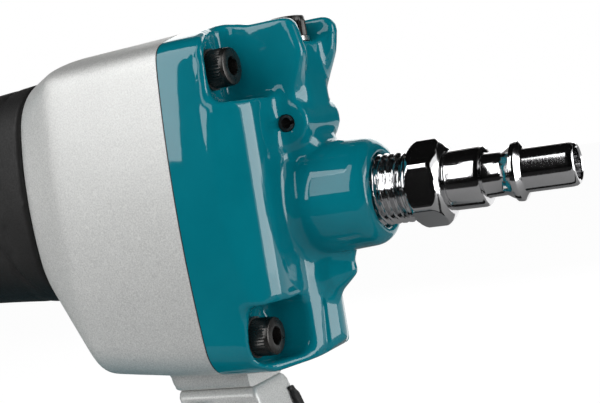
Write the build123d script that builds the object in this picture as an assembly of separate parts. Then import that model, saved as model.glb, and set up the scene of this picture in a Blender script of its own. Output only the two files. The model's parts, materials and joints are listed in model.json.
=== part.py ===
from build123d import *
import os
from math import cos, pi, radians, sin, sqrt, tan

# Pneumatic coil nailer. Millimetres, +X to the rear along the handle, +Z up along the drive axis.
# The origin is the centre of the nail exit, in the face that touches the work.

# Drive axis, nose and contact foot
contact_travel = 10.0
foot_lip = 3.2
foot_bore_r = 4.5
foot_wall = 2.3
foot_cup_depth = 13.0
nose_tip_gap = 0.8
nose_tip_r = 7.5
nose_tip_length = 16.0
nose_half = 10.0
channel_r = 3.7
nail_length = 65.0
nail_slack = 6.0
nose_flange_length = 68.0
nose_flange_width = 60.0
nose_flange_thick = 9.0
nose_flange_corner = 9.0
nose_screw_x = 26.0
nose_screw_y = 22.0
driver_r = 2.9
driver_proud = 1.0
feed_room = 4.0

# Cylinder, piston and head
bore_r = 24.0
sleeve_wall = 2.0
sleeve_ports = 8
sleeve_port_r = 2.0
bumper_height = 18.0
piston_height = 12.0
piston_margin = 2.0
head_r = 41.0
head_wall = 5.0
head_floor = 8.0
head_lip = 1.0
head_flange_corner = 18.0
head_flange_thick = 10.0
head_screw_inset = 8.0
head_cap_flange = 8.0
head_cap_height = 29.0
head_cap_roof = 9.0
head_valve_height = 11.0
valve_seat_gap = 0.4
exhaust_port_r = 4.0
exhaust_ring_r = 16.0
exhaust_ports = 6
gasket = 1.0
deflector_r = 31.0
deflector_height = 18.0
deflector_wall = 3.0
deflector_slots = 5
deflector_slot_width = 6.6
deflector_slot_step = 22.0
deflector_bolt_r = 3.0

# Handle, grip and rear flare, with heights measured from the plug axis
plug_axis_z = 169.0
seam_x = 190.0
grip_start_x = 80.0
grip_end_x = 152.2
grip_end_tilt = 0.3
grip_thick = 2.2
handle_rise = 8.9
handle_height = 45.4
handle_half = 17.0
handle_wall = 3.2
waist_slim = 3.0
grip_flat_share = 0.8
grip_corner_share = 0.7
grip_crown_share = 0.05
flare_wall = 4.0
flare_low = 29.3
flare_high = 35.2
flare_mid_half = 22.4
flare_top_half = 20.6
flare_bottom_half = 19.4
flare_corner = 4.0
flare_low_corner = 7.0
flare_crown = 3.6
shoulder_length = 27.2
shoulder_narrow = 1.9
panel_length = 12.0
panel_narrow = 0.6
top_slope = 0.6
low_slope = 1.3

# End cap, measured back from the seam and up from the plug axis
cap_flange = 7.5
cap_far_flange = 4.5
cap_depth = 20.3
cap_face_depth = 15.0
cap_rear_half = 6.2
cap_low_lift = 2.5
cap_top_fall = 4.2
cap_prow_height = -17.0
cap_prow_back = 2.4
cap_prow_half = 0.8
cap_soft = 8.0
cap_block_soft = 2.5
cap_room_depth = 11.0
cap_room_half = 16.0
cap_room_low = -13.0
cap_room_high = 17.0
cap_block_half = 7.5
cap_block_top = 29.5
fin_thick = 2.9
fin_round = 2.4
fin_lean = 0.9
fin_start = 5.0
fin_depth = 21.8
fin_far_depth = 23.2
fin_high = 33.8
fin_low = 27.0
pocket_floor = 20.0
pocket_depth = 4.8
pocket_rim = 9.0
pocket_rim_half = 21.0
low_pocket_top = -16.2
low_pocket_floor = -27.2
boss_r = 10.5
boss_end_r = 10.2
boss_depth = 30.6
lug_r = 4.2
lug_tip_r = 0.8
lug_depth = 22.4
lug_height = -13.9
pin_depth = 16.5
pin_height = 14.8
pin_r = 1.5
pin_bore_r = 1.0
pin_boss_r = 4.2
pin_boss_half = 7.6
cap_screw_y = 15.0
cap_screw_high = 26.3
cap_screw_low = -22.5
top_screw_depth = 16.0
washer_thick = 0.8
cap_gasket = 0.6

# Air plug, quarter inch thread on a 14 mm hexagon
thread_r = 6.58
thread_pitch = 1.337
thread_shown = 6.0
thread_held = 9.0
thread_depth = 0.86
thread_crest_share = 0.2
plug_hex = 14.0
plug_hex_length = 6.6
plug_barrel_r = 5.47
plug_barrel_length = 6.8
plug_neck_r = 3.95
plug_neck_length = 3.4
plug_cone_length = 1.9
plug_collar_r = 5.3
plug_collar_length = 1.0
plug_back_length = 0.8
plug_tip_r = 3.9
plug_tip_length = 9.0
plug_air_r = 2.6
plug_soft = 0.5
filter_r = 5.0
filter_length = 8.0

# Magazine
magazine_front = 52.0
magazine_r = 60.0
magazine_wall = 3.0
magazine_low = 17.0
magazine_gap = 0.4
platform_r = 50.0
platform_thick = 3.0
platform_holes = 8
platform_hole_r = 7.0
platform_hole_ring_r = 31.0
post_r = 6.0
arm_half = 7.0
arm_lean = 16.0
arm_foot_length = 17.5
arm_knee_drop = 16.0
arm_rear_slim = 5.0
arm_waist = 18.0
arm_recess = 2.4
arm_rim = 2.6
arm_pad_thick = 4.3
arm_pad_slant = 2.0
arm_joint_groove = 0.9
tongue_half = 3.0
tongue_inset = 2.5
arm_bolt_depth = 6.5
arm_bolt_drop = 42.0
arm_bolt_step = 13.0
guard_thick = 1.8
guard_wide = 2.4
guard_drop = 2.5
guard_rise = 8.0
mag_hinge_r = 4.6
mag_pin_r = 2.0
mag_knuckle_step = 7.0
mag_hinge_out = 1.5
mag_split = 3.0
door_rib = 3.0
foot_margin = 6.0
guide_screw_step = 12.0

# Nose door, latch and feeder
door_thick = 4.6
door_hinge_x = 46.0
door_hinge_y = -9.0
door_knuckle_r = 4.0
door_pin_r = 2.0
ear_thick = 6.0
guide_thick = 4.8
latch_x = 8.0
latch_r = 3.6
latch_height = 12.0
latch_pin_r = 1.5
latch_bar = 2.8
latch_tail = 16.0
latch_tail_out = 8.0
feed_r = 8.5
feed_wall = 2.5
feed_stroke = 9.0
feed_length = 36.0
feed_piston_length = 8.0
feed_plate_half = 16.5
feed_plate_share = 0.4
pawl_half = 6.0
pawl_reach = 3.0
feed_rod_r = 2.5

# Trigger and its valve
trigger_set_back = 7.0
trigger_pivot_drop = 9.0
trigger_half = 8.5
trigger_length = 33.0
trigger_under = 8.5
trigger_wall = 2.2
trigger_lever_thick = 2.4
trigger_pin_r = 2.0
ear_wide = 3.5
valve_set_back = 17.0
valve_r = 8.0
stem_r = 2.2
valve_flange = 3.0
valve_height = 20.0
valve_room_r = 5.0

# Contact linkage
strap = 2.5
strap_half = 6.0
tab = 2.7
link_wide = 6.0
link_bar_height = 10.0
rod_x = -19.0
rod_r = 2.5
wheel_r = 7.5
wheel_height = 8.0
wheel_low = 53.0
wheel_notches = 16
spring_r = 4.6
spring_wire = 1.1
spring_turns = 6

# Fits
clearance = 0.3
running = 0.06
hole_gap = 0.1

# Screws: nominal diameters and shank lengths
small_screw = 4.0
screw = 5.0
big_screw = 6.0
cap_screw_grip = 10.0
nose_screw_grip = 7.0
head_screw_grip = 12.0
screw_boss_r = 5.2

# Heights worked out along the drive axis
nose_tip_z = foot_lip + contact_travel + nose_tip_gap
nose_block_z = nose_tip_z + nose_tip_length
magazine_floor = magazine_low + magazine_wall
nail_head_z = magazine_floor + nail_length
driver_up_z = nail_head_z + nail_slack
driver_down_z = nose_tip_z - driver_proud
stroke = driver_up_z - driver_down_z
nose_flange_z = driver_up_z + feed_room
head_z = nose_flange_z + nose_flange_thick
piston_up_z = head_z + bumper_height + stroke
sleeve_top = piston_up_z + piston_height + piston_margin
head_top = sleeve_top + piston_margin
head_cap_z = head_top + gasket
head_cap_top = head_cap_z + head_cap_height
head_valve_z = sleeve_top + valve_seat_gap
head_valve_r = head_r - head_wall - gasket
head_flange = 2 * (head_r + head_lip)
head_screw_offset = head_r - head_screw_inset
deflector_z = head_cap_top + valve_seat_gap
magazine_high = driver_up_z + gasket
handle_z = plug_axis_z + handle_rise
handle_low = handle_z - handle_height / 2
trigger_pivot_z = handle_low - trigger_pivot_drop
housing_end = seam_x - cap_gasket
seal_z = head_z + head_floor / 2 - gasket

# Places along the handle, the flare and the arm
grip_waist_x = (grip_start_x + grip_end_x) / 2
grip_rear_x = grip_end_x + handle_height * tan(radians(grip_end_tilt)) / 2 + clearance
handle_root_x = head_r - 2 * head_wall
shoulder_x = seam_x - shoulder_length
panel_x = seam_x - panel_length
arm_top = plug_axis_z - flare_low - arm_pad_thick
arm_front_x = seam_x - arm_foot_length
arm_knee = arm_knee_drop * tan(radians(arm_lean))
arm_low = magazine_low + 3 * nail_slack + 2 * arm_half
magazine_x = magazine_front + magazine_r
magazine_rear = magazine_x + magazine_r
tongue_drop = arm_bolt_drop + arm_bolt_step + 2 * tongue_half

# Places round the nose, the door and the feeder
door_low = magazine_floor
door_high = nail_head_z + nail_slack / 2
guide_y = channel_r + 2 * hole_gap
guide_out = guide_y + guide_thick
guide_end = magazine_front - clearance
ear_low = door_low - clearance - ear_thick
ear_high = door_high + clearance + ear_thick
feed_z = (door_low + door_high) / 2
feed_y = guide_out + feed_r + 2 * gasket
feed_front = pawl_reach + feed_stroke + clearance
nose_strap_x = -nose_half - gasket
latch_z = (door_low + door_high) / 2
latch_y = -nose_half - latch_r - clearance
feed_bore_r = feed_r - feed_wall
feed_back = feed_front + feed_length

# Places of the contact linkage, the magazine hinge and the trigger
strap_low = foot_lip * 2
wheel_high = wheel_low + wheel_height
link_bar_low = wheel_high + 4 * tab
link_bar_high = link_bar_low + link_bar_height
link_y = nose_half + strap / 2
link_top = trigger_pivot_z - trigger_under - contact_travel - clearance
link_x = guide_end - strap / 2
rod_top = wheel_high + 4 * tab
split_rear = arm_half + mag_split
mag_hinge_x = magazine_rear + mag_hinge_out
mag_hinge_y = -split_rear - mag_split
mag_knuckle_low = magazine_low + mag_knuckle_step
mag_knuckle_high = arm_low - mag_knuckle_step
trigger_pivot_x = head_r + trigger_set_back
valve_x = trigger_pivot_x + valve_set_back
lever_top = trigger_pivot_z + trigger_pin_r / 2
lever_x = trigger_pivot_x + 4.5 * trigger_pin_r
lever_axis_z = lever_top - trigger_lever_thick / 2
stem_collar_z = handle_low + 2 * valve_flange


def block(x0, x1, y0, y1, z0, z1):
    return Pos((x0 + x1) / 2, (y0 + y1) / 2, (z0 + z1) / 2) * Box(x1 - x0, y1 - y0, z1 - z0)


def upright(x, y, z0, z1, r):
    return Pos(x, y, (z0 + z1) / 2) * Cylinder(r, z1 - z0)


def crosswise(x, z, y0, y1, r):
    return Pos(x, (y0 + y1) / 2, z) * Rot(90, 0, 0) * Cylinder(r, y1 - y0)


def lengthwise(y, z, x0, x1, r):
    return Pos((x0 + x1) / 2, y, z) * Rot(0, 90, 0) * Cylinder(r, x1 - x0)


def spun(outline, x, z):
    return Pos(x, 0, z) * Rot(0, 90, 0) * revolve(Plane.XZ * outline, Axis.Z)


def rounded_plate(length, width, corner, z0, z1):
    return Pos(0, 0, z0) * extrude(RectangleRounded(length, width, corner), z1 - z0)


def side_plate(points, y0, y1):
    outline = Plane.XZ * make_face(Polyline(*points, close=True))
    return Pos(0, y1, 0) * extrude(outline, y1 - y0)


def plan_plate(points, z0, z1):
    return Pos(0, 0, z0) * extrude(make_face(Polyline(*points, close=True)), z1 - z0)


# A closed outline across the handle at one x: flat bottom, bulged sides, crowned top, rounded corners
def across(x, low, high, mid, top, bottom, corner, low_corner, crown, inset=0.0):
    low, high = low + inset, high - inset
    mid, top, bottom = mid - inset, top - inset, bottom - inset
    waist = (low + high) / 2
    base = Line((-bottom, low), (bottom, low))
    right = ThreePointArc((bottom, low), (mid, waist), (top, high - crown))
    lid = ThreePointArc((top, high - crown), (0, high), (-top, high - crown))
    left = ThreePointArc((-top, high - crown), (-mid, waist), (-bottom, low))
    outline = make_face(base + right + lid + left)
    outline = fillet([v for v in outline.vertices() if v.Y > waist], max(corner - inset, gasket))
    outline = fillet(outline.vertices().sort_by(Axis.Y)[:2], max(low_corner - inset, gasket))
    return Plane(origin=(x, 0, 0), x_dir=(0, 1, 0), z_dir=(1, 0, 0)) * outline


# Radius of a metric socket head
def screw_head_r(d):
    return (1.5 * d + 1) / 2


# Socket head screw along +Z, seat at the origin and head above it
def socket_screw(d, length):
    head = Pos(0, 0, d / 2) * Cylinder(screw_head_r(d), d)
    head = chamfer(head.edges().group_by(Axis.Z)[-1], d / 10)
    socket_depth = d / 2
    socket = RegularPolygon((d - 1) / 2, 6, major_radius=False)
    head -= Pos(0, 0, d - socket_depth) * extrude(socket, socket_depth)
    return head + Pos(0, 0, -length / 2) * Cylinder(d / 2, length)


def screw_hole(d, length):
    return Pos(0, 0, -length / 2) * Cylinder(d / 2 + hole_gap, length)


def corners(x, y):
    return [(sx * x, sy * y) for sx in (-1, 1) for sy in (-1, 1)]


def ring(r_out, r_in, z0, z1):
    return upright(0, 0, z0, z1, r_out) - upright(0, 0, z0 - 1, z1 + 1, r_in)


# Compression spring along Z: quarter turns as pairs of tangent arcs
def coil_spring(x, y, z0, z1, mean_r, wire, turns):
    quarters = 4 * turns
    rise = (z1 - z0 - wire) / quarters
    points, tangents = [], []
    for i in range(quarters + 1):
        angle = pi / 2 * i
        points.append(Vector(x + mean_r * cos(angle), y + mean_r * sin(angle), z0 + wire / 2 + rise * i))
        tangents.append(Vector(-sin(angle) * mean_r, cos(angle) * mean_r, rise * 2 / pi).normalized())
    arcs = []
    for p0, p1, t0, t1 in zip(points, points[1:], tangents, tangents[1:]):
        span, both = p1 - p0, t0 + t1
        bend = 2 * (1 - t0.dot(t1))
        reach = (sqrt(span.dot(both) ** 2 + bend * span.dot(span)) - span.dot(both)) / bend
        joint = (p0 + t0 * reach + p1 - t1 * reach) * 0.5
        arcs.append(TangentArc(p0, joint, tangent=t0))
        arcs.append(TangentArc(joint, p1, tangent=arcs[-1] % 1))
    section = Plane(origin=points[0], z_dir=tangents[0]) * Circle(wire / 2)
    print("spring gap between turns", round(4 * rise - wire, 2))
    return sweep(section, path=Wire(arcs))


# Handle and flare outlines, shared by the casting, its hollow and the grip
def grip_outline(x, height, half, inset=0.0):
    low, high = handle_z - height / 2, handle_z + height / 2
    flat = half * grip_flat_share
    corner, crown = half * grip_corner_share, height * grip_crown_share
    return across(x, low, high, half, flat, flat, corner, corner, crown, inset)


def grip_loft(inset):
    return loft([
        grip_outline(grip_start_x, handle_height, handle_half, inset),
        grip_outline(grip_waist_x, handle_height - waist_slim, handle_half - waist_slim / 4, inset),
        grip_outline(grip_rear_x, handle_height, handle_half, inset),
    ])


def flare_outline(x, low, high, narrower, inset=0.0):
    return across(
        x, plug_axis_z - low, plug_axis_z + high, flare_mid_half - narrower, flare_top_half - narrower,
        flare_bottom_half - narrower, flare_corner, flare_low_corner, flare_crown, inset,
    )


def grip_end_outline(inset):
    face = grip_outline(grip_end_x, handle_height, handle_half, inset)
    return face.rotate(Axis((grip_end_x, 0, handle_z), (0, 1, 0)), grip_end_tilt)


def flare_loft(inset):
    grip_end = grip_end_outline(inset)
    low, high = flare_low - low_slope, flare_high - top_slope
    shoulder = flare_outline(shoulder_x, low, high, shoulder_narrow, inset)
    low, high = flare_low - low_slope / 4, flare_high - top_slope / 2
    panel = flare_outline(panel_x, low, high, panel_narrow, inset)
    seam = flare_outline(housing_end, flare_low, flare_high, 0, inset)
    return loft([grip_end, shoulder, panel, seam], ruled=True)


def cap_screw_places():
    places = []
    for side in (-1, 1):
        for height in (cap_screw_low, cap_screw_high):
            places.append((side * cap_screw_y, plug_axis_z + height))
    return places


# The far screws sit deeper in the cap than the near ones
def cap_seat(y):
    return cap_flange if y < 0 else cap_far_flange


# The arm hangs from a tongue under the flare and leans back before it drops to the magazine
def arm_profile(inset):
    return [
        (arm_front_x + inset, arm_top - inset),
        (arm_front_x + arm_knee + inset, arm_top - arm_knee_drop),
        (magazine_rear + clearance + inset, magazine_high + arm_half),
        (magazine_rear + clearance + inset, arm_low + inset),
        (magazine_rear + 2 * arm_half - arm_rear_slim - inset, arm_low + inset),
        (magazine_rear + arm_waist - inset, magazine_high),
        (seam_x + arm_knee - inset, arm_top - arm_knee_drop),
        (seam_x - inset, arm_top - inset),
    ]


def arm_bolt_places():
    first = (seam_x - arm_bolt_depth, plug_axis_z - arm_bolt_drop)
    return [first, (first[0], first[1] - arm_bolt_step)]


def tongue(grow):
    low = plug_axis_z - tongue_drop - grow
    front = arm_front_x + tongue_inset + arm_knee
    rear = seam_x - tongue_inset + grow
    return block(front - grow, rear, -tongue_half - grow, tongue_half + grow, low, arm_top + arm_pad_thick)


def main_housing():
    body = upright(0, 0, head_z, head_top, head_r)
    flange_z = head_top - head_flange_thick
    floor_z = head_z + head_floor
    body += rounded_plate(head_flange, head_flange, head_flange_corner, flange_z, head_top)
    body += rounded_plate(nose_flange_length, nose_flange_width, nose_flange_corner, head_z, floor_z)
    root_grow = 2 * gasket
    body += loft([
        grip_outline(handle_root_x, handle_height + 3 * root_grow, handle_half + root_grow),
        grip_outline(grip_start_x, handle_height, handle_half),
    ])
    body += grip_loft(grip_thick)
    body += flare_loft(0)
    pad_roof = arm_top + arm_pad_thick + flare_wall / 2
    body += side_plate([
        (arm_front_x - arm_pad_slant, pad_roof), (arm_front_x, arm_top), (housing_end, arm_top),
        (housing_end, pad_roof),
    ], -arm_half, arm_half)
    body += tongue(0)
    ear_in = trigger_half + clearance
    ear_out = ear_in + ear_wide
    ear_reach = 3 * trigger_pin_r
    for y0, y1 in ((-ear_out, -ear_in), (ear_in, ear_out)):
        front, rear = trigger_pivot_x - ear_reach, trigger_pivot_x + ear_reach
        ear = block(front, rear, y0, y1, trigger_pivot_z, handle_z)
        body += ear + crosswise(trigger_pivot_x, trigger_pivot_z, y0, y1, ear_reach)

    hollow = upright(0, 0, floor_z, head_top + gasket, head_r - head_wall)
    hollow += upright(0, 0, head_z - gasket, floor_z + gasket, bore_r + sleeve_wall + hole_gap)
    inset = grip_thick + handle_wall
    hollow += loft([
        grip_outline(handle_root_x - head_wall, handle_height, handle_half, inset),
        grip_outline(grip_start_x, handle_height, handle_half, inset),
    ])
    hollow += grip_loft(inset)
    rear_hollow = flare_loft(flare_wall + gasket)
    boss_long = cap_screw_grip + 2 * small_screw
    for y, z in cap_screw_places():
        rear_hollow -= lengthwise(y, z, housing_end - boss_long, seam_x, screw_boss_r)
    body -= hollow
    body -= rear_hollow
    for y, z in cap_screw_places():
        hole_x = housing_end - cap_screw_grip - small_screw
        body -= lengthwise(y, z, hole_x, seam_x, small_screw / 2 + hole_gap)
    body -= crosswise(trigger_pivot_x, trigger_pivot_z, -ear_out - 1, ear_out + 1, trigger_pin_r + hole_gap)
    seat_z = handle_low - 2 * valve_flange
    body -= upright(valve_x, 0, seat_z, handle_z, valve_r + hole_gap)
    body -= upright(valve_x, 0, seat_z, handle_low - gasket, valve_r + 2 * gasket + clearance)
    for x, z in arm_bolt_places():
        body -= crosswise(x, z, -arm_half, arm_half, screw / 2 + hole_gap)
    for x, y in corners(head_screw_offset, head_screw_offset):
        body -= Pos(x, y, head_top) * screw_hole(screw, head_screw_grip)
    for x, y in corners(nose_screw_x, nose_screw_y):
        body -= Pos(x, y, head_z + nose_screw_grip) * screw_hole(screw, nose_screw_grip + gasket)
    return body


def grip_sleeve():
    sleeve = grip_loft(0) - grip_loft(grip_thick - hole_gap)
    reach = 2 * handle_height
    tail = Pos(grip_end_x - clearance, 0, handle_z) * Rot(0, grip_end_tilt, 0) * Pos(reach / 2, 0, 0)
    sleeve -= tail * Box(reach, reach, reach)
    groove_x = grip_end_x - 3 * grip_thick
    lip = Pos(groove_x, 0, handle_z) * Rot(0, grip_end_tilt, 0) * Box(gasket, reach, reach)
    return sleeve - (lip - grip_loft(grip_thick / 4))


def end_cap():
    base = plug_axis_z
    face_x = seam_x + cap_face_depth
    rear_x = seam_x + cap_depth
    prow_x = rear_x - cap_prow_back
    outer = 3 * cap_depth
    reach = seam_x + outer
    low, high = base - flare_low, base + flare_high
    wide = flare_mid_half
    cap = extrude(flare_outline(seam_x, flare_low, flare_high, 0), cap_face_depth)
    plan = make_face(Polyline(
        (seam_x - 1, -wide), (face_x, -wide), (face_x, wide), (seam_x - 1, wide), close=True))
    plan = fillet([v for v in plan.vertices() if v.X > seam_x], cap_soft)
    cap &= Pos(0, 0, low) * extrude(plan, high - low)
    plan = make_face(Polyline(
        (seam_x + cap_flange, -cap_rear_half), (rear_x, -cap_rear_half), (rear_x, cap_rear_half),
        (seam_x + cap_flange, cap_rear_half), close=True))
    plan = fillet([v for v in plan.vertices() if v.X > face_x], cap_block_soft)
    cap += Pos(0, 0, base) * extrude(plan, cap_block_top)
    prow = [(face_x - cap_flange / 2, cap_block_half), (face_x, cap_block_half), (prow_x, cap_prow_half)]
    prow += [(x, -y) for x, y in reversed(prow)]
    cap += plan_plate(prow, low, base)
    cap &= side_plate([
        (seam_x - 1, low - 1), (face_x, low + cap_low_lift / 4), (prow_x, low + cap_low_lift),
        (prow_x, base + cap_prow_height), (rear_x, base - boss_r), (rear_x, high - cap_top_fall),
        (seam_x + cap_depth / 2, high - cap_top_fall / 4), (seam_x - 1, high + 1),
    ], -2 * wide, 2 * wide)

    boss_long = boss_depth - cap_flange
    rim = 2 * gasket
    boss = make_face(Polyline(
        (0, 0), (boss_r, 0), (boss_end_r, boss_long - rim), (boss_end_r - rim / 2, boss_long - rim / 4),
        (boss_end_r - rim, boss_long), (0, boss_long), close=True))
    for side, notch_top in ((-1, low_pocket_top), (1, -boss_r)):
        pocket = [
            (seam_x + pocket_depth, side * cap_block_half), (seam_x + pocket_rim, side * pocket_rim_half),
            (seam_x + pocket_rim, side * outer), (reach, side * outer), (reach, side * cap_block_half),
        ]
        cap -= plan_plate(pocket, base + pocket_floor, base + outer)
        cap -= plan_plate(pocket, base + low_pocket_floor, base + low_pocket_top)
        notch = [
            (face_x, side * cap_block_half), (seam_x + cap_flange, side * wide), (reach, side * wide),
            (reach, side * cap_block_half),
        ]
        cap -= plan_plate(notch, low - 1, base + notch_top)
    cap += spun(boss, seam_x + cap_flange, base)
    lug_long = lug_depth - cap_flange
    lug = make_face(Polyline(
        (0, 0), (lug_r, 0), (lug_r, lug_long - lug_r), (lug_tip_r, lug_long), (0, lug_long), close=True))
    cap += spun(lug, seam_x + cap_flange, base + lug_height)
    fin_in = cap_block_half - fin_thick
    slot_x = seam_x + top_screw_depth - fin_in
    cap -= block(slot_x, reach, -fin_in, fin_in, base + cap_block_top, base + outer)
    fin_z = base + fin_high
    for depth, top_depth, y0 in (
        (fin_depth, fin_depth - fin_lean, -cap_block_half),
        (fin_far_depth - fin_lean, fin_far_depth, fin_in),
    ):
        fin_x = seam_x + top_depth
        fin = [
            (seam_x + fin_start, base + pocket_floor - fin_thick), (seam_x + fin_start, fin_z),
            (fin_x - fin_round, fin_z), (fin_x - fin_round / 2, fin_z - fin_round / 7),
            (fin_x - fin_round / 7, fin_z - fin_round / 2), (fin_x, fin_z - fin_round),
            (seam_x + depth, base + fin_low),
            (rear_x, base + pocket_floor + fin_thick), (rear_x - fin_thick, base + pocket_floor - fin_thick),
        ]
        cap += side_plate(fin, y0, y0 + fin_thick)
    pin_x, pin_z = seam_x + pin_depth, base + pin_height
    cap += crosswise(pin_x, pin_z, -pin_boss_half, pin_boss_half, pin_boss_r)

    room = seam_x + cap_room_depth
    cap -= block(seam_x - 1, room, -cap_room_half, cap_room_half, base + cap_room_low, base + cap_room_high)
    cap -= lengthwise(0, base, room - 1, seam_x + boss_depth, filter_r + hole_gap)
    boss_x = seam_x + boss_depth
    cap -= lengthwise(0, base, boss_x - thread_held, boss_x + 1, thread_r + hole_gap)
    pin_end = pin_boss_half + 1
    cap -= crosswise(pin_x, pin_z, -pin_end, pin_end, pin_r + hole_gap / 2)
    seat_r = screw_head_r(small_screw) + 4 * clearance
    for y, z in cap_screw_places():
        cap += lengthwise(y, z, seam_x, seam_x + cap_seat(y) - washer_thick, seat_r)
        cap -= lengthwise(y, z, seam_x + cap_seat(y) - washer_thick, rear_x, seat_r)
        cap -= lengthwise(y, z, seam_x - 1, seam_x + cap_flange, small_screw / 2 + hole_gap)
    seat_z = base + cap_block_top
    top_x = seam_x + top_screw_depth
    cap -= upright(top_x, 0, seat_z - cap_screw_grip - gasket, seat_z + 1, small_screw / 2 + hole_gap)
    return cap


def end_cap_gasket():
    sheet = extrude(flare_outline(housing_end, flare_low, flare_high, 0, hole_gap), cap_gasket)
    sheet -= extrude(flare_outline(housing_end, flare_low, flare_high, 0, 2 * flare_wall), cap_gasket)
    for y, z in cap_screw_places():
        sheet += lengthwise(y, z, housing_end, seam_x, screw_boss_r) & extrude(
            flare_outline(housing_end, flare_low, flare_high, 0, hole_gap), cap_gasket)
        sheet -= lengthwise(y, z, housing_end - 1, seam_x + 1, small_screw / 2 + hole_gap)
    return sheet


def rear_screw(y, z, seat, length):
    return Pos(seam_x + seat, y, z) * Rot(0, 90, 0) * socket_screw(small_screw, length)


def end_cap_screws():
    return [rear_screw(y, z, cap_seat(y), cap_seat(y) + cap_screw_grip) for y, z in cap_screw_places()]


def washer(y, z, seat):
    r_out = screw_head_r(small_screw) + clearance
    place = Pos(seam_x + seat, y, z) * Rot(0, 90, 0)
    return place * ring(r_out, small_screw / 2 + hole_gap, 0, washer_thick)


def end_cap_washers():
    return [washer(y, z, cap_seat(y) - washer_thick) for y, z in cap_screw_places()]


def cap_top_screw():
    seat_z = plug_axis_z + cap_block_top + washer_thick
    return Pos(seam_x + top_screw_depth, 0, seat_z) * socket_screw(small_screw, cap_screw_grip)


def cap_top_washer():
    r_out = screw_head_r(small_screw) + clearance
    flat = ring(r_out, small_screw / 2 + hole_gap, 0, washer_thick)
    return Pos(seam_x + top_screw_depth, 0, plug_axis_z + cap_block_top) * flat


def air_plug():
    turns = int((thread_held + thread_shown) / thread_pitch)
    root_r = thread_r - thread_depth
    flank = thread_pitch * (1 - thread_crest_share) / 2
    outline = [(plug_air_r, -thread_held), (root_r, -thread_held)]
    for i in range(turns):
        z = -thread_held + i * thread_pitch
        outline += [(thread_r, z + flank), (thread_r, z + thread_pitch - flank), (root_r, z + thread_pitch)]
    hex_z = thread_shown
    barrel_z = hex_z + plug_hex_length
    neck_z = barrel_z + plug_barrel_length
    cone_z = neck_z + plug_neck_length
    collar_z = cone_z + plug_cone_length
    back_z = collar_z + plug_collar_length
    tip_z = back_z + plug_back_length
    end_z = tip_z + plug_tip_length
    outline += [
        (root_r, hex_z), (plug_barrel_r, hex_z),
        (plug_barrel_r, neck_z - plug_soft), (plug_barrel_r - plug_soft, neck_z),
        (plug_neck_r, neck_z), (plug_neck_r, cone_z), (plug_collar_r, collar_z), (plug_collar_r, back_z),
        (plug_tip_r, tip_z), (plug_tip_r, end_z - plug_soft), (plug_tip_r - plug_soft, end_z),
        (plug_air_r, end_z),
    ]
    plug = revolve(Plane.XZ * make_face(Polyline(*outline, close=True)), Axis.Z)
    nut = Pos(0, 0, hex_z) * extrude(RegularPolygon(plug_hex / 2, 6, major_radius=False), plug_hex_length)
    rim = upright(0, 0, hex_z, barrel_z, plug_hex / sqrt(3))
    rim = chamfer(rim.edges().filter_by(GeomType.CIRCLE), 2 * plug_soft, plug_soft)
    plug += (nut & rim) - upright(0, 0, hex_z, barrel_z, plug_air_r)
    return Pos(seam_x + boss_depth, 0, plug_axis_z) * Rot(0, 90, 0) * plug


def inlet_filter():
    rear = seam_x + boss_depth - thread_held - clearance
    cup = lengthwise(0, plug_axis_z, rear - filter_length, rear, filter_r)
    return cup - lengthwise(0, plug_axis_z, rear - filter_length + gasket, rear + 1, filter_r - gasket)


def spring_pin():
    x, z = seam_x + pin_depth, plug_axis_z + pin_height
    end = pin_boss_half + clearance
    tube = crosswise(x, z, -end, end, pin_r)
    tube -= crosswise(x, z, -end - 1, end + 1, pin_bore_r)
    slit = pin_bore_r / 3
    return tube - block(x, x + 2 * pin_r, -end - 1, end + 1, z - slit, z + slit)


def magazine_arm():
    arm = side_plate(arm_profile(0), -arm_half, arm_half)
    arm -= tongue(clearance / 2)
    pocket = arm_profile(arm_rim)
    seat_r = screw + gasket
    for side in (-1, 1):
        y0, y1 = sorted((side * (arm_half - arm_recess), side * (arm_half + 1)))
        cut = side_plate(pocket, y0, y1)
        for x, z in arm_bolt_places():
            cut -= crosswise(x, z, y0, y1, seat_r)
        arm -= cut
        step0, step1 = sorted((side * (arm_half - washer_thick), side * (arm_half + 1)))
        arm -= block(arm_front_x - 1, seam_x + 1, step0, step1, arm_top - arm_joint_groove, arm_top)
    for x, z in arm_bolt_places():
        arm -= crosswise(x, z, -arm_half - 1, arm_half + 1, screw / 2 + hole_gap)
    for z in magazine_screw_heights():
        place = Pos(magazine_rear + screw, 0, z) * Rot(0, 90, 0)
        arm -= place * screw_hole(screw, 2 * screw)
        arm -= place * Pos(0, 0, arm_half) * Cylinder(screw_head_r(screw) + clearance, 2 * arm_half)
    return arm


# Rubber strip along the far rear edge of the arm
def arm_guard():
    knee_x, knee_z = seam_x + arm_knee, arm_top - arm_knee_drop
    waist_x = magazine_rear + arm_waist
    top_x, top_z = seam_x + arm_knee * guard_drop / arm_knee_drop, arm_top - guard_drop
    foot_x = waist_x + (knee_x - waist_x) * guard_rise / (knee_z - magazine_high)
    foot_z = magazine_high + guard_rise
    return side_plate([
        (top_x, top_z), (top_x + guard_thick, top_z - guard_thick), (knee_x + guard_thick, knee_z),
        (foot_x + guard_thick, foot_z + guard_thick), (foot_x, foot_z), (knee_x, knee_z),
    ], arm_half - guard_wide, arm_half)


def magazine_screw_heights():
    low = arm_low + 2 * screw
    return [low, low + 3 * screw]


def magazine_screws():
    length = screw + clearance + magazine_wall
    place = [Pos(magazine_rear + screw, 0, z) * Rot(0, 90, 0) for z in magazine_screw_heights()]
    return [p * socket_screw(screw, length) for p in place]


def arm_bolts():
    one = Rot(-90, 0, 0) * socket_screw(screw, 2 * arm_half)
    return [Pos(x, arm_half, z) * one for x, z in arm_bolt_places()]


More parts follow.
